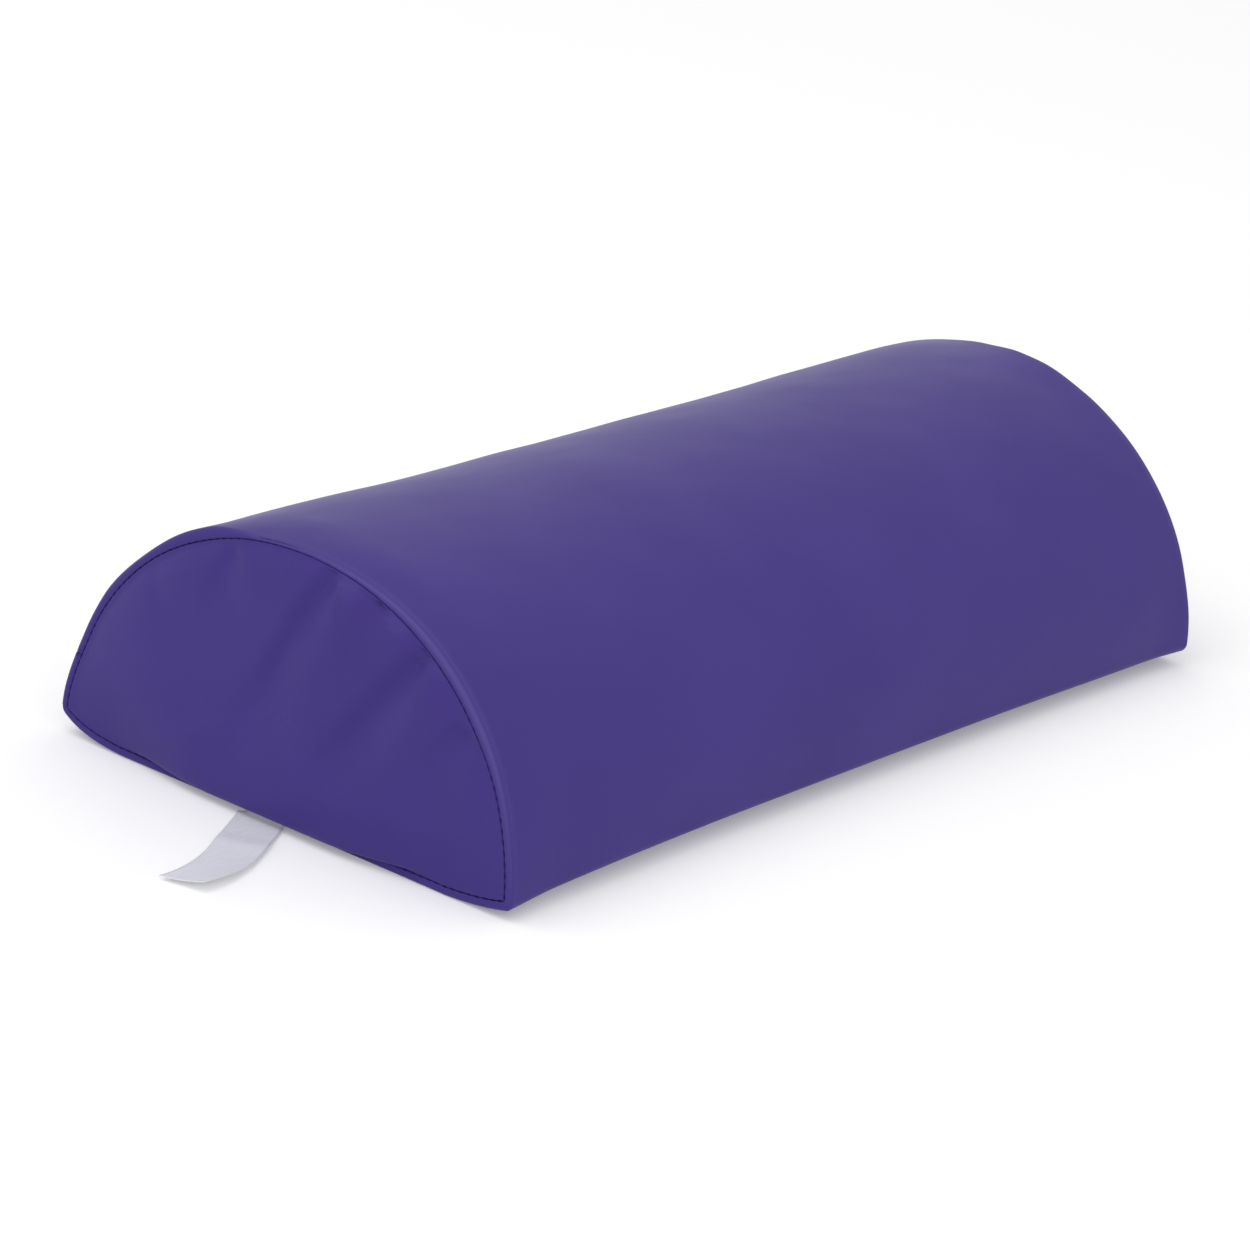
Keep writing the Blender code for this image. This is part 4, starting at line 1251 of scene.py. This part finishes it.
    def edge_rows(self, fine: Array) -> Array:
        """Rows of the rounded edge and of the skirt that is turned in behind the seam.

        Args:
            fine: Stations of their columns.

        Returns:
            The points, rows by columns.
        """
        cover, at = self.cover, self.cover.section.at
        turns = np.linspace(math.pi / 2, 0.0, self.rim_rows)[:, None]
        opened = cover.seam.open(fine)[None] * ease(math.pi / 2 - turns, *self.opening_turn)
        edge_round = self.arch_round + (self.edge_round - self.arch_round) * cover.seam.looseness(fine)
        seam_line = cover.seam_inset(fine)
        inset = seam_line + edge_round * (1.0 - np.cos(turns) ** 0.8) + opened
        dip = edge_round * (np.sin(turns) - 1.0)
        edge = self.raised(at(fine[None], inset, 0.0, 0.0), dip, inset - seam_line - self.edge_round)
        flat = at(np.broadcast_to(fine, (2, len(fine))), seam_line, 0.0, 0.0)
        place = cover.half - cover.roll - cover.allowance * np.array(self.skirt)
        place = np.broadcast_to(place[:, None, None], (*flat.shape[:-1], 1))
        return np.concatenate((edge, np.concatenate((place, flat), axis=-1)))

    def build(self) -> Piece:
        """Lofts the rings from the middle to the turned-in edge, settles them and gives the sheet its thickness.

        Returns:
            The panel.
        """
        cover, middle = self.cover, np.array(self.crest)
        coarse = cover.ring()
        fine = cover.fine(np.append(coarse, 4.0))[:-1]
        least, most = self.ring_shares
        shares = (np.arange(1, self.rings + 1) / self.rings) ** self.ring_power
        shares = least + (most - least) * shares[::-1]
        base = cover.section.at(coarse, cover.seam_inset(coarse) + self.edge_round, 0.0, 0.0)
        flat = base[None] + (middle - base)[None] * shares[:, None, None]
        rim = shares[:, None] * np.linalg.norm(middle - base, axis=-1)[None]
        rings = self.raised(flat, cover.crown * self.height(flat), rim)
        edge = self.edge_rows(fine)
        tip = self.raised(middle[None], cover.crown * self.height(middle[None]), np.array((rim.max(),)))
        points = np.concatenate((tip, rings.reshape(-1, 3), edge.reshape(-1, 3)))
        count = len(coarse)
        start = 1 + self.rings * count
        faces = fan_faces(0, 1, count)
        faces += grid_faces(self.rings, count, True, 1)
        faces += stitched_faces(start - count, start, count, cover.parts)
        faces += grid_faces(edge.shape[0], len(fine), True, start)
        side = "right"
        if self.end is End.LABEL:
            side, points, faces = "left", points * MIRROR, [face[::-1] for face in faces]
        piece = make_piece(f"end_panel_{self.end.name.lower()}_side", cover.settle(points), faces, self.finish)
        # Painted highlight and gloss on the tops of the puffs beside the seam.
        depth, most = self.puff_highlight_and_polish
        highlight_and_polish(piece, np.clip(-self.fold_depth(points[:, 1:]) / depth, 0.0, most))
        thicken(piece, cover.sheet)
        seat(piece, "bolster", Slot.LEATHERETTE, f"end_panel_{side}")
        return piece


@dataclass
class Core:
    """The foam block inside the cover, which gives way to the turned-in edges and the zip."""

    cover: Cover
    finish: Material
    slack: float = 0.0001
    end_slack: float = 0.0006
    face_slack: float = 0.0016
    face_inset: float = 0.0004
    face_shares: tuple[float, ...] = (0.93, 0.8, 0.65, 0.5, 0.35, 0.22, 0.12, 0.05, 0.0)
    tip_height: float = 0.0001
    shoulder: float = 0.004
    shoulder_inset: float = 0.0006
    shoulder_place: Pair = (0.0145, 0.012)
    body_rows: int = 8
    channel: Pair = (0.0060, 0.016)
    channel_inset: float = 0.0062

    def build(self) -> Piece:
        """Lofts rows from end to end: crowned faces, a neck inside the seams and a body with the zip's channel.

        Returns:
            The foam block.
        """
        cover, at = self.cover, self.cover.section.at
        stations = cover.ring()
        body = cover.sheet + cover.gap + self.slack
        seam_line = cover.seam_inset(stations)
        neck = seam_line + cover.sheet + cover.gap + self.slack
        depth = cover.sheet + self.end_slack
        middle = np.array((0.0, cover.middle_level))
        sink = self.channel_inset * (1.0 - ease(cover.section.zip_offset(stations), *self.channel))
        face = at(stations, np.maximum(seam_line + cover.panel_round + self.face_inset, sink), 0.0, 0.0)
        rows = []
        for share in self.face_shares:
            place = cover.half + cover.crown * (1.0 - (1.0 - share) ** 3) - depth - self.face_slack * (share > 0)
            rows.append((place, face + (middle - face) * share))
        tip = cover.half - cover.roll - cover.allowance - cover.gap - self.slack
        for place in (cover.half - cover.panel_round - cover.gap, tip):
            rows.append((place, at(stations, np.maximum(neck, sink), 0.0, 0.0)))
        for place in (tip - self.shoulder, *np.linspace(cover.half - cover.waist_start, 0.0, self.body_rows)):
            away = cover.half - place
            inset = np.maximum(body, sink) + self.shoulder_inset * float(bell(away, *self.shoulder_place))
            rows.append((place, at(stations, inset, max(cover.zip_draw(away), 0.0), cover.flatness(away))))
        count = len(stations)
        half = np.stack([np.concatenate((np.full((count, 1), place), flat), axis=1) for place, flat in rows])
        points = np.concatenate((half, half[::-1][1:] * MIRROR))
        total = points.shape[0] * count
        crest = half[0, 0, 0] + self.tip_height
        tips = np.array(((crest, *middle), (-crest, *middle)))
        faces = fan_faces(total, 0, count) + fan_faces(total + 1, total - count, count, True)
        faces += grid_faces(points.shape[0], count, True)
        every = np.concatenate((points.reshape(-1, 3), tips))
        piece = make_piece("foam_block", cover.settle(every), faces, self.finish)
        seat(piece, "bolster", Slot.FOAM, "foam_core")
        return piece


@dataclass(frozen=True)
class Stitch:
    """The part of one lockstitch that shows: how long and thick it is, and how far its ends dip."""

    length: float
    radius: float
    sag: float


@dataclass
class Stitching:
    """Lockstitches as short lengths of thread, half sunk into the sheet."""

    cover: Cover
    finish: Material
    around: int = 8
    rings: int = 7
    end_taper: int = 5
    end_girth: float = 0.04
    rung: Stitch = Stitch(0.0013, 0.00016, 0.0002)
    rung_reach: float = 0.0006
    rung_depth: float = 0.00135
    top: Stitch = Stitch(0.0025, 0.00024, 0.00030)
    top_pitch: float = 0.0031
    top_height: float = 0.00012
    down_step: float = 0.0005
    hem_margin: float = 0.0021
    window_margin: float = 0.0085
    cross_margin: float = 0.0008

    def threads(self, centres: Array, ways: Array, ups: Array, stitch: Stitch) -> Array:
        """Short threads: a rounded tube along each way whose ends dip into the sheet with the squared distance.

        Args:
            centres: Middle of each thread.
            ways: Unit direction of each thread.
            ups: Unit direction out of the sheet.
            stitch: Sizes of a thread.

        Returns:
            The points: threads, rings and points round each ring.
        """
        share = np.linspace(-1.0, 1.0, self.rings)
        girth = stitch.radius * np.sqrt(np.clip(1.0 - np.abs(share) ** self.end_taper, self.end_girth, 1.0))
        turn = np.linspace(0.0, 2.0 * math.pi, self.around, endpoint=False)
        sides = np.cross(ways, ups)
        along = ways[:, None, None] * (share * stitch.length / 2)[None, :, None, None]
        dip = ups[:, None, None] * (-stitch.sag * share ** 2)[None, :, None, None]
        shape = (ups[:, None, None] * np.cos(turn)[None, None, :, None]
                 + sides[:, None, None] * np.sin(turn)[None, None, :, None]) * girth[None, :, None, None]
        return centres[:, None, None] + along + dip + shape

    def sew(self, name: str, points: Array) -> None:
        """Makes one piece of a seam's threads."""
        faces = tube_faces(len(points), self.rings, self.around)
        seat(make_piece(name, points, faces, self.finish), "bolster", Slot.LEATHERETTE)

    def end_seams(self) -> None:
        """Rungs of thread that cross the groove between the sleeve and each end panel at every stitch."""
        cover, section = self.cover, self.cover.section
        stations = cover.seam.stitch_stations()
        seam_line = cover.seam_inset(stations)
        inner, outer, middle = (section.at(stations, seam_line + shift, 0.0, 0.0)
                                for shift in (self.rung_reach, -self.rung_reach, 0.0))
        ways = np.zeros((len(stations), 3))
        ways[:, 1:] = inner - outer
        for end in End:
            place = np.full((len(stations), 1), end.value * (cover.half - self.rung_depth))
            ups = np.tile((float(end.value), 0.0, 0.0), (len(stations), 1))
            points = self.threads(np.concatenate((place, middle), axis=1), unit(ways), ups, self.rung)
            self.sew(f"seam_stitches_{end.name.lower()}_side", cover.settle(points))

    def zip_rows(self, sleeve: Sleeve) -> None:
        """Two rows of lockstitches beside the zip's window and one across each of its ends.

        Args:
            sleeve: Sleeve that they are sewn through.
        """
        cover, section = self.cover, self.cover.section
        away = sleeve.window / 2 + sleeve.hem_round + self.hem_margin
        reach = cover.half - cover.waist_start + self.window_margin
        spots = []
        for length, sides, lengthwise in ((reach, away, True), (away, reach + self.cross_margin, False)):
            count = int(2.0 * length / self.top_pitch)
            places = (np.arange(count) - (count - 1) / 2) * self.top_pitch
            for side in (-1.0, 1.0):
                spot = (places, np.full(count, side * sides))
                spots.append((*(spot if lengthwise else spot[::-1]), np.full(count, lengthwise)))
        x, offset, lengthwise = (np.concatenate(part) for part in zip(*spots))
        draw = cover.zip_draw(cover.half - np.abs(x))
        flat = section.at(section.zip_station(offset), 0.0, draw)
        down = np.zeros((len(x), 3))
        down[:, 1:] = section.at(section.zip_station(offset + self.down_step), 0.0, draw) - flat
        down = unit(down)
        ups = np.cross(LENGTHWISE, down)
        ways = np.where(lengthwise[:, None], LENGTHWISE, down)
        centres = np.concatenate((x[:, None], flat), axis=1) + ups * self.top_height
        self.sew("zip_topstitch", self.threads(centres, ways, ups, self.top))


@dataclass
class Label:
    """The bare satin strip sewn into the bottom seam, which drops to the floor and curls up at its tip."""

    cover: Cover
    finish: Material
    width: float = 0.0178
    length: float = 0.0665
    sheet: float = 0.00022
    root: Triple = (-0.1988, 0.0072, 0.0034)
    headings: Table = ((0.0, 28.0), (0.33, 27.5), (0.53, 26.0), (0.70, 17.0), (0.86, 5.0), (1.0, -3.0))
    smoothing: int = 17
    floor_gap: float = 0.00035
    curl: float = 0.0005
    curl_span: Pair = (0.66, 1.25)
    ripple: float = 0.0006
    ripple_place: Pair = (0.42, 0.10)
    ripple_start: Pair = (0.2, 0.4)
    bow: float = 0.0003
    hold_span: Pair = (0.10, 0.35)
    twist: float = 0.0022
    twist_start: float = 0.45
    twist_power: float = 1.4
    slant: Pair = (0.0044, 0.0018)
    slant_start: float = 0.50
    fall_span: Pair = (-0.0008, 0.0026)
    along: int = 110
    across: int = 18

    def build(self, panel: Piece) -> Piece:
        """Sweeps the strip along a path whose heading turns gently, with a curled tip that is cut at a slant.

        Args:
            panel: End panel whose seam holds the label; not used.

        Returns:
            The label.
        """
        share = np.linspace(0.0, 1.0, self.along)
        heading = np.radians(np.interp(share, *np.array(self.headings).T))
        even = np.ones(self.smoothing) / float(self.smoothing)
        smooth = np.convolve(np.pad(heading, self.smoothing // 2, mode="edge"), even, mode="valid")
        step = self.length / (self.along - 1)
        base = self.floor_gap + self.sheet
        level = self.curl * ease(share, *self.curl_span) / ease(np.array(1.0), *self.curl_span)
        level += self.ripple * bell(share, *self.ripple_place) * ease(share, *self.ripple_start)
        flat_step = step * np.cos(np.arctan(np.gradient(level, step)))
        spread = np.linspace(-0.5, 0.5, self.across) * self.width
        longer = ease(share, self.slant_start, 1.0)[:, None] * (0.5 + spread / self.width)
        points = np.empty((self.along, self.across, 3))
        for axis, ahead, aside in ((0, np.cos(smooth), -np.sin(smooth)), (1, np.sin(smooth), np.cos(smooth))):
            path = self.root[axis] - np.concatenate(((0.0,), np.cumsum((flat_step * ahead)[:-1])))
            points[..., axis] = path[:, None] + aside[:, None] * spread - self.slant[axis] * longer
        bow = self.bow * (2.0 * spread / self.width) ** 2
        twist = self.twist * ease(share, self.twist_start, 1.0)[:, None]
        twist = twist * (0.5 - spread / self.width) ** self.twist_power
        hold = ease(share, *self.hold_span)[:, None]
        drop = self.root[2] - self.floor_gap - self.sheet
        fall = drop * (1.0 - ease(-points[..., 0] - self.cover.half, *self.fall_span))
        points[..., 2] = np.maximum(base + level[:, None] + fall + hold * (bow + twist), base)
        quads = [face[::-1] for face in grid_faces(self.along, self.across)]
        piece = make_piece("side_label", points, quads, self.finish)
        thicken(piece, self.sheet)
        seat(piece, "bolster", Slot.SATIN, "label")
        return piece


@dataclass
class Zip:
    """The zip behind the sleeve's window: two woven tapes, two rows of moulded teeth and plated fittings."""

    cover: Cover
    tape_finish: Material
    teeth_finish: Material
    metal: Material
    pitch: float = 0.0030
    chain: float = 0.0058
    thickness: float = 0.0024
    channel: float = 0.0008
    guard_level: float = -0.00595
    guard_width: float = 0.0100
    guard_sheet: float = 0.0002
    tape_width: float = 0.0105
    tape_sheet: float = 0.0005
    tape_level: float = -0.0028
    tape_gap: float = 0.0003
    middle_gap: float = 0.00042
    end_gap: float = 0.00008
    meet: Pair = (0.0012, 0.0030)
    cord: Pair = (0.0004, 0.0005)
    cord_height: float = 0.00012
    half_tape: float = 0.178
    half_chain: float = 0.1664
    tape_powers: Pair = (0.25, 0.8)
    guard_power: float = 0.2
    tooth_powers: Triple = (0.22, 0.32, 0.45)
    tooth_width: Triple = (0.27, 0.055, 0.02)
    tooth_height: Pair = (0.80, 0.20)
    bevels: Triple = (0.00018, 0.00016, 0.00012)
    bevel_angle: float = math.radians(35.0)

    def placed(self, local: Array) -> Array:
        """Moves points from the zip's own axes to the bolster's.

        Args:
            local: Places along the zip, down the cover and out of it, from the middle of the zip's line.

        Returns:
            The places in the bolster's axes.
        """
        section, waist = self.cover.section, self.cover.waist
        origin = np.array((0.0, *section.at(section.zip_station(0.0), 0.0, waist)))
        down = np.array((0.0, *section.zip_down(waist)))
        outward = np.cross(LENGTHWISE, down)
        return origin + local[..., :1] * LENGTHWISE + local[..., 1:2] * down + local[..., 2:] * outward

    def add(self, name: str, local: Array, finish: Material, slot: Slot, *nodes: str) -> None:
        """Makes a piece of closed tubes.

        Args:
            name: Name of the piece.
            local: Points in the zip's axes: tubes, rings and points round each ring.
            finish: Material of the piece.
            slot: Slot that its finish comes from.
            nodes: Solids that it stands for.
        """
        piece = make_piece(name, self.placed(local), tube_faces(*local.shape[:3]), finish)
        turn_outward(piece.data)
        seat(piece, "bolster", slot, *nodes)

    def tape(self, name: str, side: int) -> None:
        """A woven tape: a flat band with rounded edges and a corded edge beside the teeth.

        Args:
            name: Name of the tape, upper or lower.
            side: -1 above the zip's line and 1 below it.
        """
        place = np.sin(np.linspace(-math.pi / 2, math.pi / 2, 160))[:, None] * self.half_tape
        meet = ease(np.abs(place) - self.half_chain, *self.meet)
        inner = self.middle_gap - (self.middle_gap - self.end_gap) * meet
        outer = self.chain / 2 + self.tape_gap + self.tape_width
        turn = np.linspace(0.0, 2.0 * math.pi, 24, endpoint=False)
        flat, tall = self.tape_powers
        across = (inner + outer) / 2 + rounded(np.cos(turn), flat) * (outer - inner) / 2
        thick = self.tape_sheet / 2 + self.cord_height * bell(across, inner + self.cord[0], self.cord[1])
        level = self.tape_level - self.tape_sheet / 2 + rounded(np.sin(turn), tall) * thick
        local = np.stack(np.broadcast_arrays(place, side * across, level), axis=-1)
        self.add(f"tape_{name}", local[None], self.tape_finish, Slot.TAPE, f"zip_tape_{name}")

    def guard(self) -> None:
        """The thin strip behind the chain that keeps the foam out of it: a flat band with rounded edges."""
        place = np.linspace(-self.half_tape, self.half_tape, 40)[:, None]
        turn = np.linspace(0.0, 2.0 * math.pi, 16, endpoint=False)
        across = rounded(np.cos(turn), self.guard_power) * self.guard_width / 2
        level = self.guard_level + np.sin(turn) * (self.guard_sheet / 2)
        local = np.stack(np.broadcast_arrays(place, across, level), axis=-1)
        self.add("zip_guard", local[None], self.tape_finish, Slot.TAPE)

    def teeth(self, name: str, side: int) -> None:
        """A row of teeth: rounded blocks with a waisted neck, set on the tape's corded edge at one pitch.

        Args:
            name: Name of the row, upper or lower.
            side: -1 above the zip's line and 1 below it.
        """
        turn = np.linspace(0.0, 2.0 * math.pi, 16, endpoint=False)[None, :]
        lift = np.linspace(-math.pi / 2, math.pi / 2, 7)[1:-1, None]
        dome, square, flat = self.tooth_powers
        bent = np.abs(np.cos(lift)) ** dome
        u, v = (rounded(circle(turn), square) * bent for circle in (np.cos, np.sin))
        w = rounded(np.sin(lift), flat) + 0.0 * turn
        head, root = self.channel / 2, self.chain / 2
        across = (head + root) / 2 + v * (root - head) / 2
        toward = (root - across) / (root - head)
        whole, neck, tip = self.tooth_width
        width = self.pitch * (whole - neck * bell(toward, 0.55, 0.2) + tip * ease(toward, 0.6, 0.9))
        low, rise = self.tooth_height
        height = self.thickness / 2 * (low + rise * ease(toward, 0.1, 0.45))
        one = np.stack((u * width, side * across, self.tape_level - self.tape_sheet / 2 + w * height), axis=-1)
        count = int((2.0 * self.half_chain - self.pitch) / self.pitch)
        shift = np.zeros((count, 1, 1, 3))
        shift[:, 0, 0, 0] = -self.pitch * (count - 1) / 2 + side * self.pitch / 4 + np.arange(count) * self.pitch
        self.add(f"teeth_{name}", one[None] + shift, self.teeth_finish, Slot.TEETH, f"zip_teeth_{name}")

    def fitting(self, node: str, name: str, body: str, bevel: float) -> None:
        """A plated fitting: the solid's own shape with its seams merged and its edges rounded.

        Args:
            node: Solid that it stands for.
            name: Name of the piece.
            body: Body that carries it.
            bevel: Width of the rounded edges.
        """
        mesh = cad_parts[node].data.copy()
        mesh.name = name
        turn_outward(mesh, True)
        mesh.materials.clear()
        mesh.materials.append(self.metal)
        mesh.shade_smooth()
        piece = link(name, mesh)
        modifier = piece.modifiers.new("Edges", "BEVEL")
        modifier.width, modifier.segments = bevel, 2
        modifier.limit_method, modifier.angle_limit = "ANGLE", self.bevel_angle
        modifier.harden_normals = True
        seat(piece, body, Slot.NICKEL, node)

    def build(self) -> None:
        """Builds the guard, the tapes, the teeth and the fittings."""
        stop, slider, tab = self.bevels
        self.guard()
        for name, side in (("upper", -1), ("lower", 1)):
            self.tape(name, side)
            self.teeth(name, side)
            self.fitting(f"zip_top_stop_{name}", f"top_stop_{name}", "bolster", stop)
        self.fitting("zip_bottom_stop", "bottom_stop", "bolster", stop)
        self.fitting("zip_slider", "slider_body", "slider", slider)
        self.fitting("zip_pull_tab", "pull_tab_plate", "pull_tab", tab)


@dataclass
class Studio:
    """The plain white studio: floor, soft light all round, two soft boxes and the camera."""

    azimuth: float = -0.9338
    elevation: float = 0.3308
    roll: float = 0.1108
    distance: float = 1.7072
    shift_right: float = -0.01304
    shift_up: float = -0.02256
    centre: Triple = (0.0, 0.0, 0.05)
    focal_pixels: float = 4749.9
    picture_pixels: float = 1250.0
    sensor: float = 36.0
    clip_start: float = 0.05
    around: float = 0.79
    floor_colour: Triple = (0.87, 0.87, 0.87)
    floor_glow: float = 0.21
    floor_reach: float = 12.0
    soft_boxes: tuple[tuple[str, Triple, float, float], ...] = (
        ("soft_box_above", (-0.7, 0.5, 1.9), 1.4, 9.0), ("soft_box_right", (-0.75, -0.85, 0.42), 0.6, 1.7))

    def axes(self, back: Array) -> tuple[Array, Array, Array]:
        """Right, up and back directions of a level camera or light.

        Args:
            back: Direction against which it looks.

        Returns:
            The three unit directions.
        """
        back = unit(back)
        right = unit(np.cross((0.0, 0.0, 1.0), back))
        return right, np.cross(back, right), back

    def hang(self, holder: Piece, place: Array, axes: tuple[Array, Array, Array]) -> None:
        """Places a camera or a light.

        Args:
            holder: Object of the camera or the light.
            place: Where it stands.
            axes: Its right, up and back directions.
        """
        matrix = np.eye(4)
        matrix[:3, :3], matrix[:3, 3] = np.stack(axes, axis=1), place
        holder.matrix_world = Matrix(matrix.tolist())

    def camera(self) -> None:
        """Sets the camera: a place on a sphere, an aim beside its centre and a small roll about its axis."""
        sin_a, cos_a = math.sin(self.azimuth), math.cos(self.azimuth)
        sin_e, cos_e = math.sin(self.elevation), math.cos(self.elevation)
        back = np.array((sin_a * cos_e, -cos_a * cos_e, sin_e))
        right, up, _ = self.axes(back)
        place = back * self.distance
        right, up, back = self.axes(place - (right * self.shift_right + up * self.shift_up))
        cos_r, sin_r = math.cos(self.roll), math.sin(self.roll)
        camera = bpy.data.cameras.new("camera")
        camera.sensor_width = self.sensor
        camera.lens = self.focal_pixels / self.picture_pixels * self.sensor
        camera.clip_start = self.clip_start
        holder = link("camera", camera)
        turned = (cos_r * right + sin_r * up, -sin_r * right + cos_r * up, back)
        self.hang(holder, place + np.array(self.centre), turned)
        bpy.context.scene.camera = holder

    def lights(self) -> None:
        """Hangs the soft boxes: square soft lights of a name, place, size and power, which face the bolster."""
        for name, place, size, power in self.soft_boxes:
            light = bpy.data.lights.new(name, "AREA")
            light.size, light.energy = size, power
            self.hang(link(name, light), np.array(place), self.axes(np.array(place) - np.array(self.centre)))

    def seen(self, nodes: Nodes) -> Socket:
        """A value of 1 for camera, glossy and transmission rays, and 0 for the rest.

        Args:
            nodes: Nodes of the material or the surroundings.

        Returns:
            The socket with the value.
        """
        path = nodes.tree.nodes.new("ShaderNodeLightPath").outputs
        total = path["Is Camera Ray"]
        for name in ("Is Glossy Ray", "Is Transmission Ray"):
            total = nodes.math("ADD", total, path[name], use_clamp=True)
        return total

    def surroundings(self) -> None:
        """White surroundings where they are seen or mirrored, and a plain soft light everywhere else."""
        world = bpy.data.worlds.new("surroundings")
        bpy.context.scene.world = world
        world.use_nodes = True
        nodes = Nodes(world.node_tree)
        nodes.fill(world.node_tree.nodes["Background"], {
            "Color": (1.0, 1.0, 1.0, 1.0), "Strength": nodes.span(self.seen(nodes), self.around, 1.0, 0.0, 1.0)})

    def floor(self) -> None:
        """A wide matt floor, a little brighter where the camera sees it."""
        made = bpy.data.materials.new("studio_floor")
        made.use_nodes = True
        nodes = Nodes(made.node_tree)
        nodes.fill(made.node_tree.nodes["Principled BSDF"], {
            "Base Color": (*self.floor_colour, 1.0), "Roughness": 0.9, "Specular IOR Level": 0.0,
            "Emission Color": (1.0, 1.0, 1.0, 1.0),
            "Emission Strength": nodes.math("MULTIPLY", self.seen(nodes), self.floor_glow)})
        corners = np.array(((-1.0, -1.0, 0.0), (1.0, -1.0, 0.0), (1.0, 1.0, 0.0), (-1.0, 1.0, 0.0))) * self.floor_reach
        make_piece("studio_floor", corners, [[0, 1, 2, 3]], made)

    def build(self) -> None:
        """Sets the camera, the lights, the floor and the way colours are shown."""
        self.camera()
        self.surroundings()
        self.floor()
        self.lights()
        bpy.context.scene.view_settings.view_transform = "Standard"


def main() -> None:
    """Builds the studio and the bolster's pieces in order."""
    logging.basicConfig(level=logging.INFO, format="%(name)s: %(message)s")
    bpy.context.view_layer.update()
    Studio().build()
    purple = Leatherette("purple_leatherette", (0.0515, 0.0315, 0.212), 0.44, specular=0.15, sheen=0.10,
                         sheen_roughness=0.18).material()
    thread = Thread("purple_thread", (0.040, 0.025, 0.160), 0.55, specular=0.2).material()
    foam = Foam("cream_foam", (0.72, 0.66, 0.48), 0.95, specular=0.2).material()
    satin = Satin("white_satin", (0.82, 0.83, 0.88), 0.42, sheen=0.15).material()
    tape = Weave("purple_tape", (0.050, 0.036, 0.160), 0.88, specular=0.2).material()
    plastic = Moulded("purple_plastic", (0.048, 0.034, 0.150), 0.38).material()
    nickel = Nickel("nickel_plate", (0.62, 0.60, 0.57), 0.28, metallic=1.0).material()
    cover = Cover()
    sleeve = Sleeve(cover, purple)
    sleeve.build()
    panels = {end: EndPanel(cover, purple, end).build() for end in End}
    Core(cover, foam).build()
    stitching = Stitching(cover, thread)
    stitching.end_seams()
    stitching.zip_rows(sleeve)
    Label(cover, satin).build(panels[End.LABEL])
    Zip(cover, tape, plastic, nickel).build()


if __name__ == "__main__":
    main()
